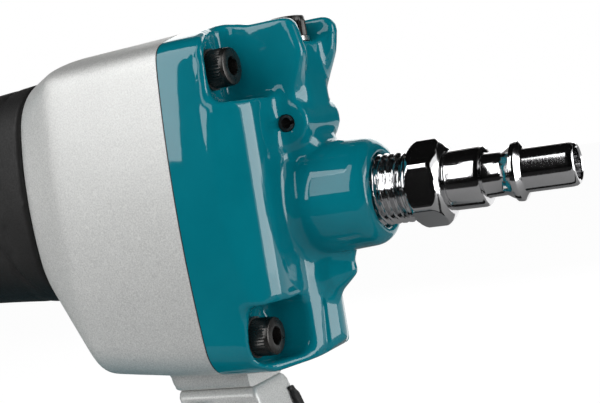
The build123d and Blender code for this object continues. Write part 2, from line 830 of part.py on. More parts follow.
# Head: sleeve, bumper, piston and driver, valve, cap and exhaust deflector
def cylinder_sleeve():
    r_out = bore_r + sleeve_wall
    sleeve = ring(r_out, bore_r, head_z, sleeve_top)
    port_z = head_z + bumper_height + 3 * sleeve_port_r
    for i in range(sleeve_ports):
        sleeve -= Rot(0, 0, 360 / sleeve_ports * i) * lengthwise(0, port_z, 0, 2 * r_out, sleeve_port_r)
    return sleeve - ring(r_out + 1, r_out - gasket, seal_z, seal_z + 2 * gasket)


def sleeve_seal():
    r_out = bore_r + sleeve_wall
    return ring(r_out, r_out - gasket + hole_gap, seal_z + hole_gap, seal_z + 2 * gasket - hole_gap)


def piston_bumper():
    hole = driver_r + 2 * gasket
    bumper = ring(bore_r - clearance, hole, head_z, head_z + bumper_height)
    waist = ring(bore_r, bore_r - 3 * gasket, head_z + bumper_height / 3, head_z + bumper_height * 2 / 3)
    return bumper - waist


def drive_piston():
    r = bore_r - running
    z1 = piston_up_z + piston_height
    piston = upright(0, 0, piston_up_z, z1, r)
    dish = upright(0, 0, piston_up_z + piston_height / 2, z1 + 1, r / 2)
    piston -= dish - upright(0, 0, 0, 2 * z1, 3 * driver_r)
    groove_z = piston_up_z + piston_height / 3
    piston -= ring(r + 1, r - 2 * gasket, groove_z, groove_z + piston_height / 3)
    return piston - upright(0, 0, 0, 2 * z1, driver_r + hole_gap)


def piston_ring():
    r = bore_r - running / 2
    z0 = piston_up_z + piston_height / 3
    return ring(r, r - 2 * gasket + hole_gap, z0 + hole_gap, z0 + piston_height / 3 - hole_gap)


def driver_blade():
    nut_z = piston_up_z + piston_height
    shank = upright(0, 0, driver_up_z, nut_z, driver_r)
    nut = extrude(RegularPolygon(2 * driver_r, 6), piston_margin - valve_seat_gap)
    return shank + Pos(0, 0, nut_z) * nut


def head_valve():
    r = head_valve_r
    z1 = head_valve_z + head_valve_height
    valve = upright(0, 0, head_valve_z, z1, r)
    valve -= upright(0, 0, head_valve_z + head_valve_height / 2, z1 + 1, r - 2 * head_wall)
    valve += ring(exhaust_ring_r / 2 + 2 * gasket, exhaust_ring_r / 2, head_valve_z, z1)
    valve -= upright(0, 0, head_valve_z - 1, z1 + 1, exhaust_ring_r / 2)
    groove_z = head_valve_z + head_valve_height / 2
    return valve - ring(r + 1, r - 2 * gasket, groove_z, groove_z + 3 * gasket)


def head_valve_seal():
    z = head_valve_z + head_valve_height / 2
    return ring(head_valve_r, head_valve_r - 2 * gasket + hole_gap, z + hole_gap, z + 3 * gasket - hole_gap)


def head_valve_spring():
    mean_r = head_valve_r - 2 * head_wall - 3 * gasket
    z0 = head_valve_z + head_valve_height / 2
    return coil_spring(0, 0, z0, head_cap_top - head_cap_roof, mean_r, 2 * gasket, 3)


def head_cap():
    seat_z = head_cap_z + head_cap_flange
    cap = rounded_plate(head_flange, head_flange, head_flange_corner, head_cap_z, seat_z)
    dome = upright(0, 0, head_cap_z, head_cap_top, head_r)
    cap += fillet(dome.edges().group_by(Axis.Z)[-1], head_cap_flange)
    cap -= upright(0, 0, head_cap_z - 1, head_cap_top - head_cap_roof, head_valve_r + running)
    for i in range(exhaust_ports):
        port = upright(exhaust_ring_r, 0, head_cap_z, head_cap_top + 1, exhaust_port_r)
        cap -= Rot(0, 0, 360 / exhaust_ports * i) * port
    cap -= upright(0, 0, head_cap_z, head_cap_top + 1, deflector_bolt_r + hole_gap)
    seat_r = screw_head_r(screw) + 2 * clearance
    for x, y in corners(head_screw_offset, head_screw_offset):
        cap -= upright(x, y, seat_z, head_cap_top + 1, seat_r)
        cap -= upright(x, y, head_cap_z - 1, seat_z + 1, screw / 2 + hole_gap)
    return cap


def head_gasket():
    sheet = rounded_plate(head_flange, head_flange, head_flange_corner, head_top, head_cap_z)
    sheet -= upright(0, 0, head_top - 1, head_cap_z + 1, head_r - head_wall)
    for x, y in corners(head_screw_offset, head_screw_offset):
        sheet -= upright(x, y, head_top - 1, head_cap_z + 1, screw / 2 + hole_gap)
    return sheet


def head_cap_screws():
    z = head_cap_z + head_cap_flange
    length = head_cap_flange + head_screw_grip
    one = socket_screw(screw, length)
    return [Pos(x, y, z) * one for x, y in corners(head_screw_offset, head_screw_offset)]


def exhaust_deflector():
    z1 = deflector_z + deflector_height
    cover = upright(0, 0, deflector_z, z1, deflector_r)
    cover = fillet(cover.edges().group_by(Axis.Z)[-1], deflector_wall)
    cover -= upright(0, 0, deflector_z - 1, z1 - deflector_wall, deflector_r - deflector_wall)
    hub_r = 2 * deflector_bolt_r
    cover += upright(0, 0, deflector_z, z1 - deflector_wall, hub_r)
    cover -= upright(0, 0, deflector_z - 1, z1 + 1, deflector_bolt_r + running)
    half = deflector_slot_width / 2
    slot = block(deflector_r / 2, 2 * deflector_r, -half, half,
                 deflector_z + deflector_wall, z1 - 2 * deflector_wall)
    for i in range(deflector_slots):
        turn = deflector_slot_step * (i - (deflector_slots - 1) / 2)
        cover -= Rot(0, 0, 90 + turn) * slot
    return cover


def deflector_bolt():
    z1 = deflector_z + deflector_height + clearance
    length = z1 - head_cap_top + head_cap_roof
    return Pos(0, 0, z1) * socket_screw(big_screw, length)


# Nose: drive channel, feed guide and the ears of the nose door
def nose_body():
    nose = rounded_plate(nose_flange_length, nose_flange_width, nose_flange_corner, nose_flange_z, head_z)
    nose += block(-nose_half, nose_half, -nose_half, nose_half, nose_block_z, nose_flange_z)
    nose += upright(0, 0, nose_tip_z, nose_block_z, nose_tip_r)
    nose += block(nose_half - 1, guide_end, guide_y, guide_out, ear_low, ear_high)
    for z in (ear_low, ear_high - ear_thick):
        ear = block(door_hinge_x - door_knuckle_r, door_hinge_x + door_knuckle_r, door_hinge_y, guide_out,
                    z, z + ear_thick)
        nose += ear + upright(door_hinge_x, door_hinge_y, z, z + ear_thick, door_knuckle_r)
    nose -= upright(0, 0, 0, head_z + 1, channel_r)
    nose -= block(0, nose_half + 1, -nose_half - 1, guide_y, door_low - clearance, door_high + clearance)
    nose -= upright(door_hinge_x, door_hinge_y, ear_low - 1, ear_high + 1, door_pin_r + hole_gap)
    pawl_room = pawl_half + clearance
    nose -= block(-pawl_reach - clearance, pawl_reach + feed_stroke + clearance, 0, 2 * guide_out,
                  feed_z - pawl_room, feed_z + pawl_room)
    for x, y in corners(nose_screw_x, nose_screw_y):
        nose -= upright(x, y, nose_flange_z - 1, head_z + 1, screw / 2 + hole_gap)
    for x, z in feed_screw_places() + guide_screw_places():
        nose -= crosswise(x, z, guide_y - 1, guide_out + 1, small_screw / 2 + hole_gap)
    seat = spring_r + spring_wire
    return nose - upright(rod_x, 0, nose_flange_z - 1, nose_flange_z + gasket, seat)


def nose_screws():
    one = Rot(180, 0, 0) * socket_screw(screw, nose_flange_thick + nose_screw_grip)
    return [Pos(x, y, nose_flange_z) * one for x, y in corners(nose_screw_x, nose_screw_y)]


def nose_door():
    y1 = -guide_y
    y0 = y1 - door_thick
    door = block(clearance, door_hinge_x, y0, y1, door_low, door_high)
    door += upright(door_hinge_x, door_hinge_y, door_low, door_high, door_knuckle_r)
    for z in latch_ear_heights():
        ear = block(latch_x - latch_r, latch_x + latch_r, latch_y, y0, z, z + latch_r)
        door += ear + upright(latch_x, latch_y, z, z + latch_r, latch_r)
    rib = gasket
    for x in (latch_x + 3 * latch_r, latch_x + 5 * latch_r):
        door += block(x, x + 2 * gasket, y0 - rib, y0, door_low + latch_r, door_high - latch_r)
    door -= block(-1, 2 * door_hinge_x, y1, 2 * guide_out, door_low - 1, door_high + 1)
    door -= upright(door_hinge_x, door_hinge_y, door_low - 1, door_high + 1, door_pin_r + running)
    return door - upright(latch_x, latch_y, door_low, door_high, latch_pin_r + hole_gap)


def latch_ear_heights():
    half = latch_height / 2 + clearance
    return [latch_z - half - latch_r, latch_z + half]


def door_latch():
    z0, z1 = latch_z - latch_height / 2, latch_z + latch_height / 2
    hook_x = -nose_half - clearance
    inner, outer = latch_y + latch_bar / 2, latch_y - latch_bar / 2
    tail_x, tail_y = latch_x + latch_tail, latch_y - latch_tail_out
    outline = [
        (hook_x - latch_bar, outer), (latch_x, outer), (tail_x, tail_y),
        (tail_x + gasket, tail_y + latch_bar), (latch_x + latch_bar, inner), (hook_x, inner),
        (hook_x, latch_y + 2 * latch_bar), (hook_x - latch_bar, latch_y + 2 * latch_bar),
    ]
    lever = plan_plate(outline, z0, z1) + upright(latch_x, latch_y, z0, z1, latch_r)
    return lever - upright(latch_x, latch_y, z0 - 1, z1 + 1, latch_pin_r + running)


def latch_pin():
    low, high = latch_ear_heights()
    return upright(latch_x, latch_y, low, high + latch_r, latch_pin_r)


def nose_door_pin():
    return upright(door_hinge_x, door_hinge_y, ear_low, ear_high, door_pin_r)


# Contact foot, rod, depth wheel and the link to the trigger
def contact_foot():
    r_out = nose_tip_r + clearance + foot_wall
    top = foot_lip + foot_cup_depth
    foot = upright(0, 0, 0, top, r_out)
    foot = chamfer(foot.edges().group_by(Axis.Z)[0], gasket)
    x0 = nose_strap_x - strap
    foot += block(x0, -nose_tip_r, -strap_half, strap_half, strap_low, top)
    tab_z = wheel_low - clearance
    foot += block(x0, nose_strap_x, -strap_half, strap_half, strap_low, tab_z)
    foot += block(rod_x - 2 * rod_r, nose_strap_x, -strap_half, strap_half, tab_z - tab, tab_z)
    foot -= upright(0, 0, foot_lip, top + 1, nose_tip_r + clearance)
    foot -= block(0, 2 * r_out, -2 * r_out, 2 * r_out, foot_lip, top + 1)
    foot -= upright(0, 0, -1, top, foot_bore_r)
    rod = upright(rod_x, 0, tab_z - tab, rod_top, rod_r)
    return foot + rod


def depth_wheel():
    wheel = upright(rod_x, 0, wheel_low, wheel_high, wheel_r)
    wheel = chamfer(wheel.edges().filter_by(GeomType.CIRCLE), gasket / 2)
    notch = upright(wheel_r + gasket / 2, 0, wheel_low - 1, wheel_high + 1, gasket)
    for i in range(wheel_notches):
        wheel -= Pos(rod_x, 0, 0) * Rot(0, 0, 360 / wheel_notches * i) * notch
    return wheel - upright(rod_x, 0, wheel_low - 1, wheel_high + 1, rod_r + running)


def contact_link():
    x0 = nose_strap_x - strap
    y1 = link_y + strap
    low = wheel_high + clearance
    link = block(rod_x - 2 * rod_r, nose_strap_x, -strap_half, strap_half, low, low + tab)
    link += block(x0, nose_strap_x, -strap_half, strap_half, low, link_bar_high)
    link += block(x0, nose_strap_x, -strap_half, y1, link_bar_low, link_bar_high)
    link += block(x0, link_x, link_y, y1, link_bar_low, link_bar_high)
    link += block(link_x - link_wide, link_x, link_y, y1, link_bar_low, link_top)
    link += block(link_x - link_wide, link_x, -strap_half, y1, link_top - strap, link_top)
    return link - upright(rod_x, 0, low - 1, low + tab + 1, rod_r + hole_gap)


def contact_spring():
    low = wheel_high + clearance + tab
    return coil_spring(rod_x, 0, low, nose_flange_z + gasket, spring_r, spring_wire, spring_turns)


# Feeder on the far side of the nose
def feed_screw_places():
    x = feed_front + feed_length * feed_plate_share
    drop = feed_plate_half - small_screw
    return [(x, feed_z - drop), (x, feed_z + drop)]


def feed_cylinder():
    tube = lengthwise(feed_y, feed_z, feed_front, feed_back, feed_r)
    plate_x = feed_front + feed_length * feed_plate_share
    wide = 2 * small_screw
    tube += block(plate_x - wide, plate_x + wide, guide_out, guide_out + feed_wall,
                  feed_z - feed_plate_half, feed_z + feed_plate_half)
    half = feed_r / 2
    tube += block(plate_x - wide, plate_x + wide, guide_out, feed_y, feed_z - half, feed_z + half)
    tube -= lengthwise(feed_y, feed_z, feed_front + feed_wall, feed_back - feed_wall, feed_bore_r)
    tube -= lengthwise(feed_y, feed_z, 0, feed_front + feed_r, feed_rod_r + running)
    for x, z in feed_screw_places():
        tube -= crosswise(x, z, guide_out - 1, guide_out + feed_wall + 1, small_screw / 2 + hole_gap)
    return tube


def side_screw(x, z, seat):
    return Pos(x, seat, z) * Rot(-90, 0, 0) * socket_screw(small_screw, seat - guide_y)


def feed_screws():
    return [side_screw(x, z, guide_out + feed_wall) for x, z in feed_screw_places()]


def feed_piston():
    x0 = feed_front + feed_wall + clearance
    piston = lengthwise(feed_y, feed_z, x0, x0 + feed_piston_length, feed_bore_r - running)
    return piston + lengthwise(feed_y, feed_z, pawl_reach, x0 + gasket, feed_rod_r)


def feed_pawl():
    pawl = block(-pawl_reach, pawl_reach, guide_y + clearance, feed_y + feed_rod_r + gasket,
                 feed_z - pawl_half, feed_z + pawl_half)
    tooth = plan_plate([
        (-pawl_reach - 1, guide_y - 1), (pawl_reach + 1, guide_y - 1), (pawl_reach + 1, guide_out),
    ], feed_z - 2 * pawl_half, feed_z + 2 * pawl_half)
    return pawl - tooth


def feed_spring():
    x1 = feed_back - feed_wall
    x0 = feed_front + feed_wall + feed_piston_length + feed_stroke + 2 * clearance
    coil = lengthwise(feed_y, feed_z, x0, x1, feed_bore_r - clearance)
    return coil - lengthwise(feed_y, feed_z, x0 - 1, x1 + 1, feed_bore_r - clearance - gasket)


# Magazine: roof and far half fixed, near half on a hinge, platform on a post
def can(z0, z1, r):
    return Pos(magazine_x, 0, 0) * Rot(0, 0, 90) * upright(0, 0, z0, z1, r)


def near_side(gap, z0, z1):
    far = 2 * magazine_r
    return plan_plate([
        (magazine_x - far, -gap), (magazine_x, -gap), (magazine_rear, -split_rear - gap),
        (magazine_x + far, -split_rear - gap), (magazine_x + far, -far), (magazine_x - far, -far),
    ], z0, z1)


def can_half():
    inside = can(magazine_floor, magazine_high + 1, magazine_r - magazine_wall)
    return can(magazine_low, magazine_high, magazine_r) - inside


def guide_screw_places():
    x = guide_end - 2 * small_screw
    low = ear_low + foot_margin
    return [(x, low), (x, low + guide_screw_step)]


def magazine_body():
    roof_high = magazine_high + magazine_wall
    inside = magazine_r - magazine_wall
    body = can(magazine_low, roof_high, magazine_r)
    body -= can(magazine_floor, magazine_high, inside)
    body -= near_side(0, magazine_low - 1, magazine_high)
    foot_x = guide_end - 2 * small_screw - foot_margin
    foot_end = guide_end + 2 * small_screw
    foot = block(foot_x, foot_end, guide_out, guide_out + magazine_wall,
                 ear_low, ear_low + guide_screw_step + 2 * foot_margin)
    body += foot - can(magazine_low - 2 * small_screw, magazine_high, inside)
    body -= upright(mag_hinge_x, mag_hinge_y, mag_knuckle_low - clearance, mag_knuckle_high + clearance,
                    mag_hinge_r + clearance)
    low_knuckle = (magazine_low, mag_knuckle_low - clearance)
    high_knuckle = (mag_knuckle_high + clearance, arm_low - clearance)
    root_x, root_y = mag_hinge_x - mag_hinge_r, mag_split - split_rear
    for z0, z1 in (low_knuckle, high_knuckle):
        knuckle = upright(mag_hinge_x, mag_hinge_y, z0, z1, mag_hinge_r)
        knuckle += block(root_x, mag_hinge_x, mag_hinge_y, root_y, z0, z1)
        body += knuckle - can(z0 - 1, z1 + 1, inside)
    body -= upright(mag_hinge_x, mag_hinge_y, magazine_low - 1, arm_low, mag_pin_r + hole_gap)
    body -= block(guide_end - 1, foot_end, -guide_out, guide_y, magazine_floor, magazine_high)
    for x, z in guide_screw_places():
        body -= crosswise(x, z, guide_out - 1, guide_out + magazine_wall + 1, small_screw / 2 + hole_gap)
    for z in magazine_screw_heights():
        body -= lengthwise(0, z, magazine_x + inside - screw, magazine_rear + 1, screw / 2 + hole_gap)
    return body - upright(magazine_x, 0, magazine_high - 1, roof_high + 1, screw / 2 + hole_gap)


def guide_screws():
    return [side_screw(x, z, guide_out + magazine_wall) for x, z in guide_screw_places()]


def magazine_door():
    door = can_half() & near_side(magazine_gap, magazine_low, magazine_high - magazine_gap)
    door -= block(0, magazine_x - magazine_r + 2 * magazine_wall, -door_knuckle_r - guide_out, 0,
                  magazine_floor, magazine_high)
    room = mag_hinge_r + clearance
    for z0, z1 in ((magazine_low, mag_knuckle_low), (mag_knuckle_high, arm_low)):
        door -= upright(mag_hinge_x, mag_hinge_y, z0 - 1, z1, room)
        door -= block(mag_hinge_x - room, mag_hinge_x + room, mag_hinge_y, 0, z0 - 1, z1)
    knuckle = upright(mag_hinge_x, mag_hinge_y, mag_knuckle_low, mag_knuckle_high, mag_hinge_r)
    knuckle += block(mag_hinge_x - mag_hinge_r, mag_hinge_x, mag_hinge_y - 2 * mag_pin_r, mag_hinge_y,
                     mag_knuckle_low, mag_knuckle_high)
    door += knuckle - can(magazine_floor, magazine_high, magazine_r - magazine_wall)
    half = magazine_r / 2
    for z in (magazine_floor + 2 * nail_slack, magazine_high - 2 * nail_slack):
        z1 = z + door_rib
        band = can(z, z1, magazine_r + 1) - can(z - 1, z1 + 1, magazine_r - magazine_wall / 2)
        door -= band & block(magazine_x - half, magazine_x + half, -magazine_r - 1, -half, z - 1, z1 + 1)
    return door - upright(mag_hinge_x, mag_hinge_y, magazine_low - 1, magazine_high, mag_pin_r + running)


def magazine_hinge_pin():
    return upright(mag_hinge_x, mag_hinge_y, magazine_low, arm_low - clearance, mag_pin_r)


def platform_post():
    post = upright(magazine_x, 0, magazine_floor + magazine_gap, magazine_high, post_r)
    return post - upright(magazine_x, 0, magazine_high - 2 * screw, magazine_high + 1, screw / 2 + hole_gap)


def post_screw():
    z = magazine_high + magazine_wall
    return Pos(magazine_x, 0, z) * socket_screw(screw, magazine_wall + 2 * screw - clearance)


def nail_platform():
    z0 = magazine_floor + 2 * magazine_gap
    plate = upright(magazine_x, 0, z0, z0 + platform_thick, platform_r)
    hub_r = post_r + platform_thick
    plate += upright(magazine_x, 0, z0, z0 + 4 * platform_thick, hub_r)
    hole = upright(platform_hole_ring_r, 0, z0 - 1, z0 + platform_thick + 1, platform_hole_r)
    for i in range(platform_holes):
        plate -= Pos(magazine_x, 0, 0) * Rot(0, 0, 360 / platform_holes * (i + 1 / 2)) * hole
    return plate - upright(magazine_x, 0, z0 - 1, magazine_high, post_r + running)


# Trigger group
def trigger():
    x, z = trigger_pivot_x, trigger_pivot_z
    tip = x + trigger_length
    nose = 2.2 * trigger_pin_r
    outline = [
        (x - nose, z + 1.5 * trigger_pin_r), (tip, z + trigger_wall / 4),
        (tip + gasket, z - 2 * trigger_wall), (tip - 2 * trigger_wall, z - trigger_under - gasket),
        (tip - 4 * trigger_wall, z - trigger_under), (tip - 7 * trigger_wall, z - 3 * trigger_pin_r),
        (x + 4 * trigger_pin_r, z - 3 * trigger_pin_r), (x - gasket, z - trigger_under),
        (x - nose, z - 2.5 * trigger_pin_r),
    ]
    lever = side_plate(outline, -trigger_half, trigger_half)
    inside = trigger_half - trigger_wall
    floor = z - 2 * trigger_wall
    lever -= block(x + 2 * trigger_pin_r, tip - trigger_wall, -inside, inside, floor, z + trigger_half)
    lever -= crosswise(lever_x, lever_axis_z, -trigger_half - 1, trigger_half + 1, gasket + running)
    return lever - crosswise(x, z, -trigger_half - 1, trigger_half + 1, trigger_pin_r + running)


def trigger_lever():
    half = trigger_half - trigger_wall - clearance
    front = lever_x - 2 * trigger_pin_r
    tip = trigger_pivot_x + trigger_length - 3 * trigger_wall
    lever = block(front, tip, -half, half, lever_top - trigger_lever_thick, lever_top)
    return lever + crosswise(lever_x, lever_axis_z, -trigger_half, trigger_half, gasket)


def trigger_pin():
    reach = trigger_half + clearance + ear_wide
    return crosswise(trigger_pivot_x, trigger_pivot_z, -reach, reach, trigger_pin_r)


def trigger_valve_body():
    top = handle_low + valve_height
    body = upright(valve_x, 0, handle_low - valve_flange, top, valve_r)
    body += upright(valve_x, 0, handle_low - valve_flange, handle_low - gasket, valve_r + 2 * gasket)
    body -= upright(valve_x, 0, handle_low + valve_flange, top - valve_flange, valve_room_r)
    groove = upright(valve_x, 0, top - 2 * valve_flange, top - 2 * valve_flange + 2 * gasket, valve_r + 1)
    body -= groove - upright(valve_x, 0, 0, 2 * top, valve_r - gasket)
    return body - upright(valve_x, 0, 0, 2 * top, stem_r + running)


def valve_seal():
    z0 = handle_low + valve_height - 2 * valve_flange
    seal = upright(valve_x, 0, z0 + hole_gap, z0 + 2 * gasket - hole_gap, valve_r)
    return seal - upright(valve_x, 0, 0, 2 * z0, valve_r - gasket + hole_gap)


def valve_stem():
    stem = upright(valve_x, 0, lever_top + hole_gap, handle_low + valve_height, stem_r)
    return stem + upright(valve_x, 0, stem_collar_z, stem_collar_z + 2 * gasket, valve_room_r - clearance)


def valve_spring():
    top = handle_low + valve_height - valve_flange
    return coil_spring(valve_x, 0, stem_collar_z + 2 * gasket, top, stem_r + gasket, gasket, 4)


nodes = [
    main_housing, grip_sleeve, end_cap, end_cap_gasket, end_cap_screws, end_cap_washers, cap_top_screw,
    cap_top_washer, air_plug, inlet_filter, spring_pin, magazine_arm, arm_guard, arm_bolts,
    cylinder_sleeve, sleeve_seal, piston_bumper, drive_piston, piston_ring, driver_blade, head_valve,
    head_valve_seal, head_valve_spring, head_cap, head_gasket, head_cap_screws, exhaust_deflector,
    deflector_bolt, nose_body, nose_screws, nose_door, nose_door_pin, door_latch, latch_pin,
    contact_foot, depth_wheel, contact_link, contact_spring, feed_cylinder, feed_screws, feed_piston,
    feed_pawl, feed_spring, magazine_body, magazine_screws, guide_screws, magazine_door,
    magazine_hinge_pin, platform_post, post_screw, nail_platform, trigger, trigger_lever, trigger_pin,
    trigger_valve_body, valve_seal, valve_stem, valve_spring,
]

os.makedirs("parts", exist_ok=True)
for make in nodes:
    shape = make()
    if isinstance(shape, list):
        shape = Compound(children=[s.solid() for s in shape])
    export_step(shape, f"parts/{make.__name__}.step")
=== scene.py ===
import json
from math import atan2, cos, hypot, pi, radians, sin, tau

import bmesh
import bpy
from mathutils import Matrix, Vector


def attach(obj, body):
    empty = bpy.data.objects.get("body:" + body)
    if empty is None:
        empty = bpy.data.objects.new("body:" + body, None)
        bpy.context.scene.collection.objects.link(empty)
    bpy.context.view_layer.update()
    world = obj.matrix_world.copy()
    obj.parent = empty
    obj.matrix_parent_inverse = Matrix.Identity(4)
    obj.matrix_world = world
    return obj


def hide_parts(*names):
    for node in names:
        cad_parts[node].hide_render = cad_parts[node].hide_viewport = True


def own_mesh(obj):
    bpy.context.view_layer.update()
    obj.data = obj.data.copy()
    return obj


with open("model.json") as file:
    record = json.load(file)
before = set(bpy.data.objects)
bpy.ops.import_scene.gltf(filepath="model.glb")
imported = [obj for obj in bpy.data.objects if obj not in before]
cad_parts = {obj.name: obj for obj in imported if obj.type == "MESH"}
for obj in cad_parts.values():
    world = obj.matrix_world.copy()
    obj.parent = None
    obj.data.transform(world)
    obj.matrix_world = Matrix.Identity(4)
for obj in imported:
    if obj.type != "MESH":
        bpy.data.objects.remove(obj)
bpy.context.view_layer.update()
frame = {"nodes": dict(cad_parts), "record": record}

mm = 0.001
seamX, plugZ = 190.0, 169.0  # the cap's seam and the air plug's axis, which the places of the rear start from
scene = bpy.context.scene
scene.view_settings.view_transform = "Standard"
print("frame loaded:", len(frame["nodes"]), "nodes")

# the camera stands where the photograph was taken
photoCamera = {
    "place": (0.30487, -0.20234, 0.17975),
    "right": (0.8847, 0.4377, -0.1601),
    "up": (0.1220, 0.1141, 0.9859),
    "back": (0.4498, -0.8918, 0.0475),
    "lens": 72.0,
    "sensor": 36.0,
    "clip": (0.01, 60.0),
}

studio = {
    "ambient": 0.14,
    "background": 1.0,
    "floorSize": 9.0,
    "floorPlace": (0.1, 0, -0.0004),
    "floorShare": 0.86,  # how much of the floor's look is plain white
    "floorWhite": 1.12,
    "floorColour": (0.66, 0.66, 0.66, 1.0),
    "cardBlack": (0.010, 0.010, 0.010, 1.0),
    "cardGrey": (0.31, 0.31, 0.31, 1.0),
    "cardPale": (0.90, 0.86, 0.82, 1.0),
    "cardRough": 0.9,
    "cardShine": 0.1,
}

# place, aim, size across, size down, watts, seen in reflections
lamps = {
    "keyBox": ((-0.236, -0.558, 0.560), (0.19, 0.0, 0.17), 0.30, 0.76, 2.9, True),
    "plugBox": ((0.060, -0.580, 0.610), (0.238, 0.0, 0.17), 0.20, 0.76, 1.2, True),
    "sideBox": ((0.90, 0.11, 0.19), (0.20, 0.0, 0.17), 0.42, 0.52, 3.2, True),
    "fillBox": ((0.70, -0.85, 0.42), (0.19, 0.0, 0.17), 0.70, 0.70, 3.2, False),
    "backBox": ((0.00, 0.95, 0.50), (0.15, 0.0, 0.17), 0.90, 0.50, 2.4, True),
}

# place, facing, width, height, colour: bands that only glossy surfaces show
cards = {
    "frontCard": ((0.30, -1.35, 0.65), (0, 1, 0), 3.8, 1.9, "cardBlack"),
    "rightCard": ((1.50, -0.80, 0.55), (-1, 0, 0), 1.1, 1.7, "cardBlack"),
    "rearCard": ((1.45, 1.30, 0.55), (0, -1, 0), 2.1, 1.7, "cardBlack"),
    "backCard": ((-0.60, 1.30, 0.55), (0, -1, 0), 2.0, 1.7, "cardPale"),
    "leftCard": ((-1.20, 0.10, 0.55), (1, 0, 0), 1.6, 1.7, "cardBlack"),
    "roofCard": ((0.10, 0.05, 1.62), (0, 0, -1), 4.2, 2.9, "cardBlack"),
    "apronCard": ((0.40, -0.82, 0.0003), (0, 0, 1), 2.6, 1.06, "cardBlack"),
    "floorCard": ((0.40, -0.13, 0.0003), (0, 0, 1), 2.6, 0.32, "cardGrey"),
    "stripCard": ((0.40, 0.0575, 0.0003), (0, 0, 1), 2.6, 0.055, "cardBlack"),
    "farCard": ((0.40, 0.2675, 0.0003), (0, 0, 1), 2.6, 0.365, "cardGrey"),
}


def placeCamera():
    data = bpy.data.cameras.new("photoCamera")
    data.sensor_fit = "HORIZONTAL"
    data.sensor_width = photoCamera["sensor"]
    data.lens = photoCamera["lens"]
    data.clip_start, data.clip_end = photoCamera["clip"]
    camera = bpy.data.objects.new("photoCamera", data)
    axes = [Vector(photoCamera[key]).normalized() for key in ("right", "up", "back")]
    turn = Matrix(axes).transposed().to_4x4()
    camera.matrix_world = Matrix.Translation(photoCamera["place"]) @ turn
    scene.collection.objects.link(camera)
    scene.camera = camera


def addNode(tree, kind, inputs=None, **settings):
    node = tree.nodes.new(kind)
    for key, value in settings.items():
        setattr(node, key, value)
    for key, value in (inputs or {}).items():
        if isinstance(value, bpy.types.NodeSocket):
            tree.links.new(value, node.inputs[key])
        else:
            node.inputs[key].default_value = value
    return node


def seenDirectly(tree):  # 1 for camera, glossy and transmission rays
    rays = addNode(tree, "ShaderNodeLightPath").outputs
    pair = addNode(tree, "ShaderNodeMath", {0: rays["Is Camera Ray"], 1: rays["Is Glossy Ray"]})
    return addNode(tree, "ShaderNodeMath", {0: pair.outputs[0], 1: rays["Is Transmission Ray"]},
                   use_clamp=True).outputs[0]


def lightWorld():
    world = bpy.data.worlds.new("studioWorld")
    scene.world = world
    world.use_nodes = True
    tree = world.node_tree
    tree.nodes.clear()
    soft = addNode(tree, "ShaderNodeBackground",
                   {"Color": (1, 1, 1, 1), "Strength": studio["ambient"]})
    bright = addNode(tree, "ShaderNodeBackground",
                     {"Color": (1, 1, 1, 1), "Strength": studio["background"]})
    mixed = addNode(tree, "ShaderNodeMixShader",
                    {0: seenDirectly(tree), 1: soft.outputs[0], 2: bright.outputs[0]})
    addNode(tree, "ShaderNodeOutputWorld", {"Surface": mixed.outputs[0]})


def hangLamps():
    for name, (place, target, across, down, watts, mirrored) in lamps.items():
        data = bpy.data.lights.new(name, "AREA")
        data.shape = "RECTANGLE"
        data.size = across
        data.size_y = down
        data.energy = watts
        lamp = bpy.data.objects.new(name, data)
        aim = Vector(target) - Vector(place)
        turn = aim.to_track_quat("-Z", "Y").to_matrix().to_4x4()
        lamp.matrix_world = Matrix.Translation(place) @ turn
        lamp.visible_camera = False
        lamp.visible_glossy = mirrored
        scene.collection.objects.link(lamp)


def stageSheet(name, bm, material):
    mesh = bpy.data.meshes.new(name)
    bm.to_mesh(mesh)
    bm.free()
    mesh.materials.append(material)
    sheet = bpy.data.objects.new(name, mesh)
    scene.collection.objects.link(sheet)
    return sheet


def layFloor():
    finish = bpy.data.materials.new("floorWhite")
    finish.use_nodes = True
    tree = finish.node_tree
    tree.nodes.clear()
    matt = addNode(tree, "ShaderNodeBsdfDiffuse", {"Color": studio["floorColour"]})
    glow = addNode(tree, "ShaderNodeEmission", {"Color": (1, 1, 1, 1), "Strength": studio["floorWhite"]})
    share = addNode(tree, "ShaderNodeMath", {0: seenDirectly(tree), 1: studio["floorShare"]},
                    operation="MULTIPLY")
    mixed = addNode(tree, "ShaderNodeMixShader",
                    {0: share.outputs[0], 1: matt.outputs[0], 2: glow.outputs[0]})
    addNode(tree, "ShaderNodeOutputMaterial", {"Surface": mixed.outputs[0]})
    bm = bmesh.new()
    bmesh.ops.create_grid(bm, x_segments=2, y_segments=2, size=studio["floorSize"] / 2,
                          matrix=Matrix.Translation(studio["floorPlace"]))
    stageSheet("studioFloor", bm, finish)


def newFinish(name, fixed):
    finish = bpy.data.materials.new(name)
    finish.use_nodes = True
    tree = finish.node_tree
    shader = tree.nodes["Principled BSDF"]
    for key, value in fixed.items():
        shader.inputs[key].default_value = value
    return finish, tree, shader


def cardFinish(colour):
    fixed = {"Base Color": studio[colour], "Roughness": studio["cardRough"],
             "Specular IOR Level": studio["cardShine"]}
    return newFinish(colour, fixed)[0]


def hangCards():
    for name, (place, facing, width, height, colour) in cards.items():
        turn = Vector(facing).to_track_quat("Z", "Y").to_matrix().to_4x4()
        bm = bmesh.new()
        bmesh.ops.create_grid(bm, x_segments=1, y_segments=1, size=0.5)
        bmesh.ops.scale(bm, vec=(width, height, 1), verts=bm.verts)
        bmesh.ops.transform(bm, matrix=Matrix.Translation(place) @ turn, verts=bm.verts)
        card = stageSheet(name, bm, cardFinish(colour))
        card.visible_camera = False
        card.visible_diffuse = False
        card.visible_shadow = False


placeCamera()
lightWorld()
hangLamps()
layFloor()
hangCards()
print("camera, lamps and floor placed")


